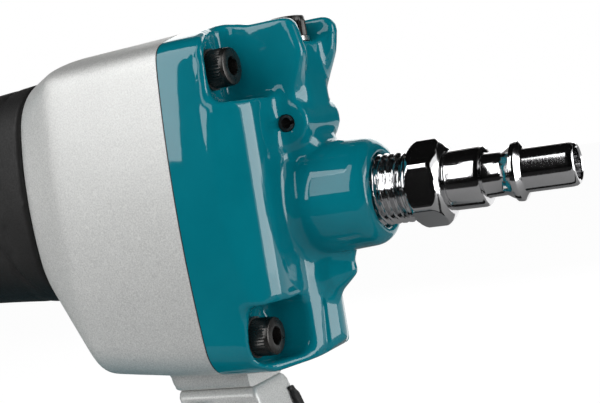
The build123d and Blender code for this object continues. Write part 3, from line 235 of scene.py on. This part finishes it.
def grain(tree, scale, detail=3.0, stretch=(1, 1, 1)):
    where = addNode(tree, "ShaderNodeTexCoord").outputs["Object"]
    if stretch != (1, 1, 1):
        where = addNode(tree, "ShaderNodeMapping", {"Vector": where, "Scale": stretch}).outputs[0]
    return addNode(tree, "ShaderNodeTexNoise",
                   {"Vector": where, "Scale": scale, "Detail": detail}).outputs["Fac"]


def spread(tree, value, low, high, fromLow=0.3, fromHigh=0.7):
    return addNode(tree, "ShaderNodeMapRange",
                   {"Value": value, "From Min": fromLow, "From Max": fromHigh,
                    "To Min": low, "To Max": high}).outputs["Result"]


def tint(tree, value, dark, light, fromLow=0.3, fromHigh=0.7):
    ramp = addNode(tree, "ShaderNodeValToRGB", {"Fac": value})
    stops = ramp.color_ramp.elements
    stops[0].position, stops[0].color = fromLow, (*dark, 1)
    stops[1].position, stops[1].color = fromHigh, (*light, 1)
    return ramp.outputs["Color"]


def added(tree, first, second, share):
    scaled = addNode(tree, "ShaderNodeMath", {0: second, 1: share}, operation="MULTIPLY").outputs[0]
    return addNode(tree, "ShaderNodeMath", {0: first, 1: scaled}).outputs[0]


def relief(tree, height, strength, depth):
    return addNode(tree, "ShaderNodeBump",
                   {"Height": height, "Strength": strength, "Distance": depth}).outputs["Normal"]


silverPaint = {
    "fixed": {"Metallic": 0.58, "Coat Weight": 0.08, "Coat Roughness": 0.22},
    "dark": (0.585, 0.59, 0.58), "light": (0.79, 0.795, 0.78), "ramp": (0.40, 0.80),
    "speck": 3600.0, "cloud": 45.0, "cloudShare": 0.20,
    "rough": (0.46, 0.60), "bump": 0.22, "depth": 0.00008,
}


def paintSilver():  # fine-grained metallic paint on a die casting
    look = silverPaint
    finish, tree, shader = newFinish("silverPaint", look["fixed"])
    speck = grain(tree, look["speck"], 2.0)
    mix = added(tree, speck, grain(tree, look["cloud"], 4.0), look["cloudShare"])
    tree.links.new(tint(tree, mix, look["dark"], look["light"], *look["ramp"]), shader.inputs["Base Color"])
    tree.links.new(spread(tree, speck, *look["rough"]), shader.inputs["Roughness"])
    tree.links.new(relief(tree, speck, look["bump"], look["depth"]), shader.inputs["Normal"])
    return finish


tealEnamel = {
    "fixed": {"Coat Weight": 1.0, "Coat Roughness": 0.035, "Coat IOR": 1.5, "Specular IOR Level": 0.02},
    "dark": (0.0, 0.150, 0.196), "light": (0.0008, 0.172, 0.222),
    "cloud": 90.0, "fine": 700.0, "rough": (0.38, 0.50),
    "peel": 240.0, "bump": 0.06, "depth": 0.0002,
}


def paintTeal():  # thick glossy enamel
    look = tealEnamel
    finish, tree, shader = newFinish("tealEnamel", look["fixed"])
    cloud = grain(tree, look["cloud"], 4.0)
    tree.links.new(tint(tree, cloud, look["dark"], look["light"]), shader.inputs["Base Color"])
    tree.links.new(spread(tree, grain(tree, look["fine"], 2.0), *look["rough"]), shader.inputs["Roughness"])
    peel = relief(tree, grain(tree, look["peel"], 2.0), look["bump"], look["depth"])
    tree.links.new(peel, shader.inputs["Normal"])
    tree.links.new(peel, shader.inputs["Coat Normal"])
    return finish


def mouldRubber(name, dark, light, rough, scale=2600.0):
    finish, tree, shader = newFinish(name, {"Specular IOR Level": 0.35})
    fine = grain(tree, scale, 3.0)
    tree.links.new(tint(tree, grain(tree, 110.0, 5.0), dark, light), shader.inputs["Base Color"])
    tree.links.new(spread(tree, fine, rough - 0.08, rough + 0.1), shader.inputs["Roughness"])
    tree.links.new(relief(tree, fine, 0.35, 0.00012), shader.inputs["Normal"])
    return finish


blackPlastic = {
    "fixed": {"Specular IOR Level": 0.45},
    "dark": (0.014, 0.014, 0.015), "light": (0.026, 0.026, 0.027),
    "cloud": 70.0, "pits": 1500.0, "rough": (0.42, 0.60), "bump": 0.25, "depth": 0.00012,
}


def mouldPlastic():
    look = blackPlastic
    finish, tree, shader = newFinish("blackPlastic", look["fixed"])
    pits = grain(tree, look["pits"], 2.0)
    cloud = grain(tree, look["cloud"], 5.0)
    tree.links.new(tint(tree, cloud, look["dark"], look["light"]), shader.inputs["Base Color"])
    tree.links.new(spread(tree, pits, *look["rough"]), shader.inputs["Roughness"])
    tree.links.new(relief(tree, pits, look["bump"], look["depth"]), shader.inputs["Normal"])
    return finish


def metalFinish(name, dark, light, rough, streak=(1, 1, 1), scale=900.0, metallic=1.0, depth=0.12):
    finish, tree, shader = newFinish(name, {"Metallic": metallic})
    lines = grain(tree, scale, 4.0, streak)
    cloud = grain(tree, 120.0, 5.0)
    mix = added(tree, cloud, lines, 0.25)
    tree.links.new(tint(tree, mix, dark, light, 0.4, 0.85), shader.inputs["Base Color"])
    tree.links.new(spread(tree, lines, rough * 0.75, rough * 1.3), shader.inputs["Roughness"])
    tree.links.new(relief(tree, lines, depth, 0.00008), shader.inputs["Normal"])
    return finish


finishes = {
    "silver_paint": paintSilver(),
    "teal_paint": paintTeal(),
    "grip_rubber": mouldRubber("gripRubber", (0.0100, 0.0098, 0.0098), (0.0155, 0.0152, 0.0152), 0.56),
    "seal_rubber": mouldRubber("sealRubber", (0.008, 0.008, 0.008), (0.014, 0.014, 0.014), 0.5),
    "bumper_rubber": mouldRubber("bumperUrethane", (0.25, 0.09, 0.02), (0.36, 0.14, 0.03), 0.42),
    "black_plastic": mouldPlastic(),
    "black_screw": metalFinish("blackOxide", (0.020, 0.0195, 0.019), (0.060, 0.058, 0.056), 0.30,
                               metallic=0.85),
    "zinc_steel": metalFinish("zincPlate", (0.50, 0.50, 0.49), (0.70, 0.70, 0.69), 0.30),
    "chrome_plug": metalFinish("chromePlate", (0.66, 0.66, 0.67), (0.78, 0.78, 0.79), 0.10,
                               streak=(1.0, 0.45, 0.45), scale=2600.0, depth=0.10),
    "filter_brass": metalFinish("sinteredBrass", (0.38, 0.24, 0.09), (0.62, 0.43, 0.18), 0.55,
                                scale=1800.0, depth=0.8),
    "dark_steel": metalFinish("phosphateSteel", (0.05, 0.05, 0.052), (0.10, 0.10, 0.10), 0.48,
                              scale=1600.0, metallic=0.8, depth=0.25),
    "bare_aluminium": metalFinish("turnedAluminium", (0.58, 0.585, 0.59), (0.74, 0.745, 0.75), 0.30,
                                  streak=(0.15, 0.15, 4.0)),
    "bright_steel": metalFinish("groundSteel", (0.44, 0.44, 0.44), (0.62, 0.62, 0.61), 0.24,
                                streak=(0.2, 0.2, 3.0)),
}

slotOfNode = {part["node"]: part["material_slot"] for part in frame["record"]["subparts"]}
bodyOfNode = {node: body for body, nodes in frame["record"]["behaviour"]["bodies"].items()
              for node in nodes}
for name, obj in frame["nodes"].items():
    obj.data.materials.clear()
    obj.data.materials.append(finishes[slotOfNode[name]])
print("finishes mixed:", len(finishes))


def makePiece(name, bm, node, sharpAngle=None):
    mesh = bpy.data.meshes.new(name)
    bm.to_mesh(mesh)
    bm.free()
    mesh.shade_smooth()
    if sharpAngle:
        mesh.set_sharp_from_angle(angle=radians(sharpAngle))
    mesh.materials.append(finishes[slotOfNode[node]])
    piece = bpy.data.objects.new(name, mesh)
    scene.collection.objects.link(piece)
    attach(piece, bodyOfNode[node])
    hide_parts(node)
    return piece


def triangles(piece):
    return sum(len(face.vertices) - 2 for face in piece.data.polygons)


def mergedCopy(node):
    bm = bmesh.new()
    bm.from_mesh(frame["nodes"][node].data)
    bmesh.ops.remove_doubles(bm, verts=bm.verts, dist=1e-6)
    return bm


def appliedMesh(bm, steps):  # runs modifiers on a throwaway object
    mesh = bpy.data.meshes.new("rough")
    bm.to_mesh(mesh)
    bm.free()
    rough = bpy.data.objects.new("rough", mesh)
    scene.collection.objects.link(rough)
    for kind, settings in steps:
        step = rough.modifiers.new(kind.title(), kind)
        for key, value in settings.items():
            setattr(step, key, value)
    graph = bpy.context.evaluated_depsgraph_get()
    done = bmesh.new()
    done.from_mesh(rough.evaluated_get(graph).to_mesh())
    bpy.data.objects.remove(rough)
    bpy.data.meshes.remove(mesh)
    return done


def softened(bm, soft):
    grid = ("REMESH", {"mode": "VOXEL", "voxel_size": soft["voxel"] * mm, "adaptivity": 0.0})
    steps = [grid]
    fillet, edge = soft.get("fillet", 0.0), soft.get("edge", 0.0)
    if fillet:  # swelling and shrinking fills the inner corners
        steps += [("DISPLACE", {"strength": fillet * mm, "mid_level": 0.0}), grid]
    if fillet + edge:
        steps += [("DISPLACE", {"strength": -(fillet + edge) * mm, "mid_level": 0.0}), grid]
    if edge:  # shrinking and swelling rounds the outer edges
        steps += [("DISPLACE", {"strength": edge * mm, "mid_level": 0.0}), grid]
    steps.append(("SMOOTH", {"factor": 0.5, "iterations": soft["rounds"]}))
    return appliedMesh(bm, steps)


def evened(bm, verts, rounds):
    for number in range(rounds):
        bmesh.ops.smooth_vert(bm, verts=verts, factor=0.5, use_axis_x=True, use_axis_y=True, use_axis_z=True)


# pushes the flat end at x outwards, so that softening leaves its rim sharp
def lengthenEnd(bm, x, step):
    faces = [f for f in bm.faces if all(abs(v.co.x - x * mm) < 1e-6 for v in f.verts)]
    grown = bmesh.ops.extrude_face_region(bm, geom=faces)["geom"]
    moved = [g for g in grown if isinstance(g, bmesh.types.BMVert)]
    bmesh.ops.translate(bm, vec=(step * mm, 0, 0), verts=moved)
    bmesh.ops.recalc_face_normals(bm, faces=bm.faces)


def cutAt(bm, x, keepRear):
    geom = bm.verts[:] + bm.edges[:] + bm.faces[:]
    bmesh.ops.bisect_plane(bm, geom=geom, plane_co=(x * mm, 0, 0), plane_no=(1, 0, 0),
                           clear_inner=keepRear, clear_outer=not keepRear)
    rim = [e for e in bm.edges if e.is_boundary]
    bmesh.ops.triangle_fill(bm, edges=rim, use_dissolve=False, normal=(-1 if keepRear else 1, 0, 0))


# castings and mouldings with soft edges: voxel, inner fillet and outer edge in mm, rounds of smoothing
castParts = {
    "head_cap": {"voxel": 0.88, "fillet": 1.2, "rounds": 7},
    "magazine_body": {"voxel": 1.15, "fillet": 0.9, "rounds": 5},
    "magazine_arm": {"voxel": 0.41, "fillet": 0.4, "rounds": 3},
    "arm_guard": {"voxel": 0.25, "edge": 0.4, "rounds": 6},
    "magazine_door": {"voxel": 0.95, "fillet": 0.8, "rounds": 5},
    "exhaust_deflector": {"voxel": 0.65, "fillet": 0.6, "rounds": 5},
    "trigger": {"voxel": 0.35, "fillet": 0.6, "rounds": 8},
    "nose_body": {"voxel": 0.75, "fillet": 0.5, "rounds": 3},
    "nose_door": {"voxel": 0.58, "rounds": 4},
    "door_latch": {"voxel": 0.3, "rounds": 4},
    "contact_foot": {"voxel": 0.4, "rounds": 4},
    "contact_link": {"voxel": 0.4, "rounds": 3},
    "depth_wheel": {"voxel": 0.25, "rounds": 3},
    "nail_platform": {"voxel": 0.8, "fillet": 0.5, "rounds": 4},
    "feed_cylinder": {"voxel": 0.5, "fillet": 0.6, "rounds": 5},
}


def castPieces():
    for node, soft in castParts.items():
        piece = makePiece(node + "Cast", softened(mergedCopy(node), soft), node)
        print("  cast", node, triangles(piece), "triangles")


castPieces()
print("castings made")

# the cap's front rim stays crisp along the seam
capCast = {
    "voxel": 0.42, "fillet": 1.7, "edge": 0.3, "rounds": 6, "sharpAngle": 50,
    "seam": seamX, "longer": -4.0, "rim": seamX - 0.32,
    "sideX": seamX + 6.0, "sideY": 18.0, "sideRounds": 20,
    "bowFrom": 14.0, "bowTo": 19.0, "bowLong": 7.0, "bow": 0.3,
    # X and radius of the even cone, and how near and far out it takes hold
    "bossX": (seamX + 17.5, seamX + 28.3), "bossR": (10.7, 10.2), "bossTaper": 0.26,
    "bossNear": 0.9, "bossFade": (2.5, 1.0), "bossRange": (7.2, 12.5),
    # Y, Z and half width of the hollow's upper and lower end
    "hollowTop": (3.9, plugZ - 16.5, 0.35), "hollowLow": (4.9, plugZ - 30.0, 1.15),
    "hollow": 0.4, "hollowX": seamX + 14.0, "hollowFacing": 0.6, "hollowRun": 6,
    "pinX": seamX + 16.5, "pinZ": plugZ + 14.8, "pinR": 1.62, "pinOut": 12.0, "pinSides": 48,
}


def bowed(bm, shape):  # evens the sides by the seam and bows them inwards towards the rear
    side = [v for v in bm.verts if v.co.x < shape["sideX"] * mm and abs(v.co.y) > shape["sideY"] * mm]
    evened(bm, side, shape["sideRounds"])
    for vert in bm.verts:
        along = max(vert.co.x / mm - shape["seam"], 0.0) / shape["bowLong"]
        out = (abs(vert.co.y) / mm - shape["bowFrom"]) / (shape["bowTo"] - shape["bowFrom"])
        out = min(max(out, 0.0), 1.0)
        step = shape["bow"] * min(along, 1.0) ** 2 * out * out * (3 - 2 * out) * mm
        vert.co.y -= step if vert.co.y > 0 else -step


def trueBoss(bm, boss):  # brings the boss back to an even cone, and narrows it a little towards its end
    (start, end), (wide, narrow) = boss["bossX"], boss["bossR"]
    (fadeIn, fadeOut), (low, high) = boss["bossFade"], boss["bossRange"]
    for vert in bm.verts:
        x, y, z = vert.co.x / mm, vert.co.y / mm, vert.co.z / mm - plugZ
        out = hypot(y, z)
        if x > start and low < out < high:
            share = (x - start) / (end - start)
            step = -boss["bossTaper"] * share * min(out - low, high - out, 1.0)
            even = wide + (narrow - wide) * share - out
            if x < end and abs(even) < boss["bossNear"]:
                ends = min((x - start) / fadeIn, (end - x) / fadeOut, 1.0)
                step += even * ends * min(2 - 2 * abs(even) / boss["bossNear"], 1.0)
            grow = 1 + step / out
            vert.co.y, vert.co.z = y * grow * mm, (z * grow + plugZ) * mm


def hollowed(bm, shape):  # a shallow wedge-shaped hollow in each flank of the lower rear edge
    (topY, topZ, topHalf), (lowY, lowZ, lowHalf) = shape["hollowTop"], shape["hollowLow"]
    bm.normal_update()
    for vert in bm.verts:
        down = (topZ - vert.co.z / mm) / (topZ - lowZ)
        facing = vert.co.x > shape["hollowX"] * mm and vert.normal.x > shape["hollowFacing"]
        if facing and 0 < down < 1:
            middle, half = topY + (lowY - topY) * down, topHalf + (lowHalf - topHalf) * down
            across = (abs(vert.co.y) / mm - middle) / half
            if abs(across) < 1:
                deep = shape["hollow"] * (1 - across * across) ** 2 * min(down * shape["hollowRun"], 1.0)
                vert.co -= vert.normal * deep * mm


def drilled(bm, hole):  # opens the pin's hole again, which the softening closes
    rod = bmesh.new()
    place = Matrix.Translation((hole["pinX"] * mm, 0, hole["pinZ"] * mm)) @ Matrix.Rotation(pi / 2, 4, "X")
    bmesh.ops.create_cone(rod, cap_ends=True, segments=hole["pinSides"], radius1=hole["pinR"] * mm,
                          radius2=hole["pinR"] * mm, depth=2 * hole["pinOut"] * mm, matrix=place)
    mesh = bpy.data.meshes.new("pinDrill")
    rod.to_mesh(mesh)
    rod.free()
    drill = bpy.data.objects.new("pinDrill", mesh)
    scene.collection.objects.link(drill)
    cut = ("BOOLEAN", {"object": drill, "operation": "DIFFERENCE", "solver": "EXACT"})
    done = appliedMesh(bm, [cut])
    bpy.data.objects.remove(drill)
    bpy.data.meshes.remove(mesh)
    return done


def capPiece():
    bm = mergedCopy("end_cap")
    lengthenEnd(bm, capCast["seam"], capCast["longer"])
    bm = softened(bm, capCast)
    bowed(bm, capCast)
    trueBoss(bm, capCast)
    hollowed(bm, capCast)
    bm = drilled(bm, capCast)
    cutAt(bm, capCast["rim"], True)
    piece = makePiece("endCapCast", bm, "end_cap", capCast["sharpAngle"])
    print("  cap", triangles(piece), "triangles")


capPiece()
print("cap made")

# housing in two halves that meet under the grip
housing = {
    "splitX": 113.0, "seam": seamX - 0.6, "longer": 5.0, "sharpAngle": 50,
    "flareLow": plugZ - 29.7, "flareRounds": 22,
    "rear": {"voxel": 0.55, "fillet": 0.7, "rounds": 4},
    "front": {"voxel": 1.2, "fillet": 1.6, "rounds": 6},
}


def housingHalf(name, keepRear):
    bm = mergedCopy("main_housing")
    cutAt(bm, housing["splitX"], keepRear)
    if keepRear:
        lengthenEnd(bm, housing["seam"], housing["longer"])
    bm = softened(bm, housing["rear" if keepRear else "front"])
    if keepRear:
        flare = [v for v in bm.verts if v.co.z > housing["flareLow"] * mm]
        evened(bm, flare, housing["flareRounds"])
        cutAt(bm, housing["seam"], False)
    piece = makePiece(name, bm, "main_housing", housing["sharpAngle"])
    print("  housing", name, triangles(piece), "triangles")


housingHalf("housingRear", True)
housingHalf("housingFront", False)
print("housing made")

# rubber grip
gripSkin = {
    "voxel": 0.53, "rounds": 6,
    # a crease across each side near the rear end
    "creaseTop": plugZ + 2.5, "creaseLow": plugZ - 11.4,
    "creaseX": seamX - 48.2, "creaseLean": 5.4, "creaseBend": 2.1,
    "creaseSide": 8.0, "creaseHalf": 0.9, "crease": 0.45,
}


def creased(bm, skin):
    bm.normal_update()
    for vert in bm.verts:
        down = (skin["creaseTop"] - vert.co.z / mm) / (skin["creaseTop"] - skin["creaseLow"])
        outward = vert.normal.y * vert.co.y > 0
        if 0 < down < 1 and abs(vert.co.y) > skin["creaseSide"] * mm and outward:
            line = skin["creaseX"] + skin["creaseLean"] * down + skin["creaseBend"] * down * down
            across = (vert.co.x / mm - line) / skin["creaseHalf"]
            if abs(across) < 1:
                deep = skin["crease"] * (1 - across * across) ** 2 * sin(pi * down) ** 0.5
                vert.co -= vert.normal * deep * mm


def gripPiece():
    bm = softened(mergedCopy("grip_sleeve"), gripSkin)
    creased(bm, gripSkin)
    piece = makePiece("gripSkin", bm, "grip_sleeve")
    print("  grip", triangles(piece), "triangles")


gripPiece()
print("grip made")


# turned and threaded pieces are stacked ring by ring, each ring (height, radius at an angle) in mm
def stackRings(bm, rings, segments):
    verts = bmesh.ops.create_circle(bm, segments=segments, radius=mm)["verts"]
    edges = list({e for v in verts for e in v.link_edges})
    for number, (height, radius) in enumerate(rings):
        if number:
            grown = bmesh.ops.extrude_edge_only(bm, edges=edges)["geom"]
            verts = [g for g in grown if isinstance(g, bmesh.types.BMVert)]
            edges = [g for g in grown if isinstance(g, bmesh.types.BMEdge)
                     and g.verts[0] in verts and g.verts[1] in verts]
        for vert in verts:
            angle = atan2(vert.co.y, vert.co.x)
            reach = radius(angle) if callable(radius) else radius
            vert.co = (reach * cos(angle) * mm, reach * sin(angle) * mm, height * mm)


def sixSided(acrossFlats):
    def radius(angle):
        return acrossFlats / 2 / cos((angle + pi / 6) % (pi / 3) - pi / 6)
    return radius


def knurled(outer, depth, count):
    def radius(angle):
        return outer - depth * abs(((angle * count / tau) % 1.0) * 2 - 1)
    return radius


socketScrew = {
    "segments": 144, "knurls": 36, "knurlDepth": 0.20, "sharpAngle": 32,
    "socket": 0.77, "mouth": 0.43, "deep": 0.55, "pitch": 0.17,  # shares of the thread's size
    "headEnd": 0.93,  # share of the half length past which a head shows its width
    "nodes": {
        "end_cap_screws": (1, 0, 0), "cap_top_screw": (0, 0, 1), "arm_bolts": (0, 1, 0),
        "head_cap_screws": (0, 0, 1), "deflector_bolt": (0, 0, 1), "nose_screws": (0, 0, 1),
        "feed_screws": (0, 1, 0), "guide_screws": (0, 1, 0), "magazine_screws": (1, 0, 0),
        "post_screw": (0, 0, 1),
    },
}


def islands(bm):
    left = set(bm.verts)
    while left:
        group, edge = set(), [left.pop()]
        while edge:
            vert = edge.pop()
            group.add(vert)
            for near in (e.other_vert(vert) for e in vert.link_edges):
                if near in left:
                    left.remove(near)
                    edge.append(near)
        yield group


def headRadius(size):
    return (1.5 * size + 1) / 2


def threadSize(radius):  # the size that has this head, to half a millimetre
    return round((2 * radius - 1) / 1.5 * 2) / 2


def oneScrew(bm, size, length, place, facing):
    r = headRadius(size)
    flute = knurled(r, socketScrew["knurlDepth"], socketScrew["knurls"])
    hexHole = sixSided(socketScrew["socket"] * size)
    depth, pitch = socketScrew["deep"] * size, socketScrew["pitch"] * size

    def hexMouth(angle):
        return max(hexHole(angle), socketScrew["mouth"] * size)

    fine = bmesh.new()
    rings = [(-length, size * 0.38), (-length + size * 0.12, size * 0.46)]
    turn = -length + size * 0.2
    while turn < -size - pitch:
        rings += [(turn, size * 0.5), (turn + pitch * 0.5, size * 0.43)]
        turn += pitch
    rings += [(-size, size * 0.5), (-size, r * 0.9), (-size * 0.97, r - 0.1), (-size * 0.9, flute),
              (-size * 0.3, flute), (-size * 0.22, r - 0.05), (-size * 0.1, r - 0.06),
              (-size * 0.03, r - 0.16), (0, r - 0.42), (0, hexMouth), (-size * 0.06, hexHole),
              (-depth, hexHole), (-depth - size * 0.12, size * 0.1)]
    stackRings(fine, rings, socketScrew["segments"])
    bmesh.ops.holes_fill(fine, edges=[e for e in fine.edges if e.is_boundary])
    bmesh.ops.recalc_face_normals(fine, faces=fine.faces)
    turn = Vector(facing).to_track_quat("Z", "Y").to_matrix().to_4x4()
    bmesh.ops.transform(fine, matrix=Matrix.Translation(place) @ turn, verts=fine.verts)
    whole = bpy.data.meshes.new("screw")
    fine.to_mesh(whole)
    fine.free()
    bm.from_mesh(whole)
    bpy.data.meshes.remove(whole)


def screwPieces():
    for node, axis in socketScrew["nodes"].items():
        axis = Vector(axis)
        source = mergedCopy(node)
        bm = bmesh.new()
        for group in islands(source):
            spots = [v.co.copy() for v in group]
            lows = Vector([min(p[i] for p in spots) for i in range(3)])
            highs = Vector([max(p[i] for p in spots) for i in range(3)])
            middle = (lows + highs) / 2
            along = [axis.dot(p - middle) for p in spots]
            far = max(along)

            def wide(sign):
                return max((p - middle - axis * t).length for p, t in zip(spots, along)
                           if t * sign > far * socketScrew["headEnd"])
            facing = axis if wide(1) > wide(-1) else -axis
            size = threadSize(max(wide(1), wide(-1)) / mm)
            oneScrew(bm, size, 2 * far / mm, middle + facing * far, facing)
        source.free()
        makePiece(node + "Fine", bm, node, socketScrew["sharpAngle"])


screwPieces()
print("screws made")

# chrome air plug, along its own axis from inside the boss
airPlug = {
    "segments": 120, "turnSteps": 12, "hexSteps": 44, "sharpAngle": 28,
    "start": seamX + 21.6, "startR": 5.2, "bore": 2.6, "boreDeep": seamX + 25.0,
    "threadR": 6.5, "threadRoot": 5.72, "pitch": 1.337, "threadLead": 0.4,
    "threadEnd": seamX + 36.2, "fadeIn": 1.2, "fadeOut": 1.0, "neckR": 5.6,
    "hexStart": seamX + 36.6, "hexAcross": 14.0, "hexLong": 6.6, "hexCorner": 7.9,
    "hexFront": (1.5, 6.5), "hexRear": (2.1, 5.75),  # length of the chamfer, radius at its end
    # X from the hexagon's rear face, radius
    "tail": [(0.02, 5.3), (0.3, 5.3), (0.55, 5.44), (0.9, 5.47), (5.9, 5.47), (6.3, 5.4),
             (6.6, 5.2), (6.78, 4.85), (6.85, 4.05), (7.1, 3.95), (9.9, 3.95), (10.3, 4.0),
             (11.9, 5.1), (12.1, 5.26), (12.4, 5.3), (12.85, 5.3), (13.05, 5.2), (13.8, 4.0),
             (14.1, 3.92), (21.6, 3.9), (22.3, 3.78), (22.7, 3.5), (22.88, 3.15), (22.9, 2.95),
             (22.75, 2.68), (22.4, 2.6)],
}


def plugPiece():
    p = airPlug
    hexR = sixSided(p["hexAcross"])
    long = p["hexLong"]

    def threadAt(x, fade):
        def radius(angle):
            phase = (x / p["pitch"] - angle / tau) % 1.0
            ridge = 1 - abs(phase * 2 - 1)
            ridge = min(max(ridge * 1.5 - 0.25, 0.0), 1.0)
            return p["threadRoot"] + (p["threadR"] - p["threadRoot"]) * ridge * fade
        return radius

    def hexAt(x):
        limits = []
        for edge, (cham, end) in ((x, p["hexFront"]), (long - x, p["hexRear"])):
            share = min(edge / cham, 1.0)
            limits.append(end + (p["hexCorner"] - end) * share * (2 - share))
        return lambda angle: min(hexR(angle), *limits)

    rings = [(p["boreDeep"], p["bore"]), (p["start"], p["bore"]), (p["start"], p["startR"])]
    x = p["start"] + p["threadLead"]
    while x < p["threadEnd"]:
        fade = min(1.0, (p["threadEnd"] - x) / p["fadeOut"], (x - p["start"]) / p["fadeIn"])
        rings.append((x, threadAt(x, fade)))
        x += p["pitch"] / p["turnSteps"]
    rings.append((p["hexStart"], p["neckR"]))
    for step in range(p["hexSteps"] + 1):
        x = long * step / p["hexSteps"]
        rings.append((p["hexStart"] + x, hexAt(x)))
    rear = p["hexStart"] + long
    rings += [(rear + x, r) for x, r in p["tail"]]
    rings += [(p["boreDeep"], p["bore"])]
    bm = bmesh.new()
    stackRings(bm, rings, p["segments"])
    bmesh.ops.remove_doubles(bm, verts=bm.verts, dist=1e-6)
    bmesh.ops.recalc_face_normals(bm, faces=bm.faces)
    turn = Vector((1, 0, 0)).to_track_quat("Z", "Y").to_matrix().to_4x4()
    bmesh.ops.transform(bm, matrix=Matrix.Translation((0, 0, plugZ * mm)) @ turn, verts=bm.verts)
    makePiece("airPlugTurned", bm, "air_plug", p["sharpAngle"])


plugPiece()
print("plug made")

coil = {"stepsPerTurn": 40, "wireSides": 12}

# springs: mean radius, wire radius, turns, axis x and y, low and high end, joint, travel
springs = {
    "contact_spring": (4.6, 0.55, 6.0, -19.0, 0.0, 64.0, 96.0, "contact_arm", 10.0),
    "valve_spring": (3.2, 0.5, 4.0, 65.0, 0.0, 163.2, 172.2, "valve_stem", 3.44),
    "head_valve_spring": (22.0, 1.0, 3.0, 0.0, 0.0, 219.9, 237.0, "head_valve", 4.0),
}


def springPieces():
    for node, (mean, wire, turns, x, y, low, high, joint, travel) in springs.items():
        rise = high - low - 2 * wire
        bm = bmesh.new()
        place = Matrix.Translation(((x + mean) * mm, y * mm, (low + wire) * mm))
        ring = bmesh.ops.create_circle(bm, cap_ends=True, segments=coil["wireSides"], radius=wire * mm,
                                       matrix=place @ Matrix.Rotation(pi / 2, 4, "X"))
        geom = list({e for v in ring["verts"] for e in v.link_edges}) + ring["verts"] + bm.faces[:]
        count = int(coil["stepsPerTurn"] * turns)
        bmesh.ops.spin(bm, geom=geom, cent=(x * mm, y * mm, 0), axis=(0, 0, 1), angle=tau * turns,
                       dvec=(0, 0, rise / count * mm), steps=count)
        bmesh.ops.remove_doubles(bm, verts=bm.verts, dist=1e-7)
        bmesh.ops.recalc_face_normals(bm, faces=bm.faces)
        piece = makePiece(node + "Wire", bm, node)
        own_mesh(piece)


springPieces()
print("springs made")
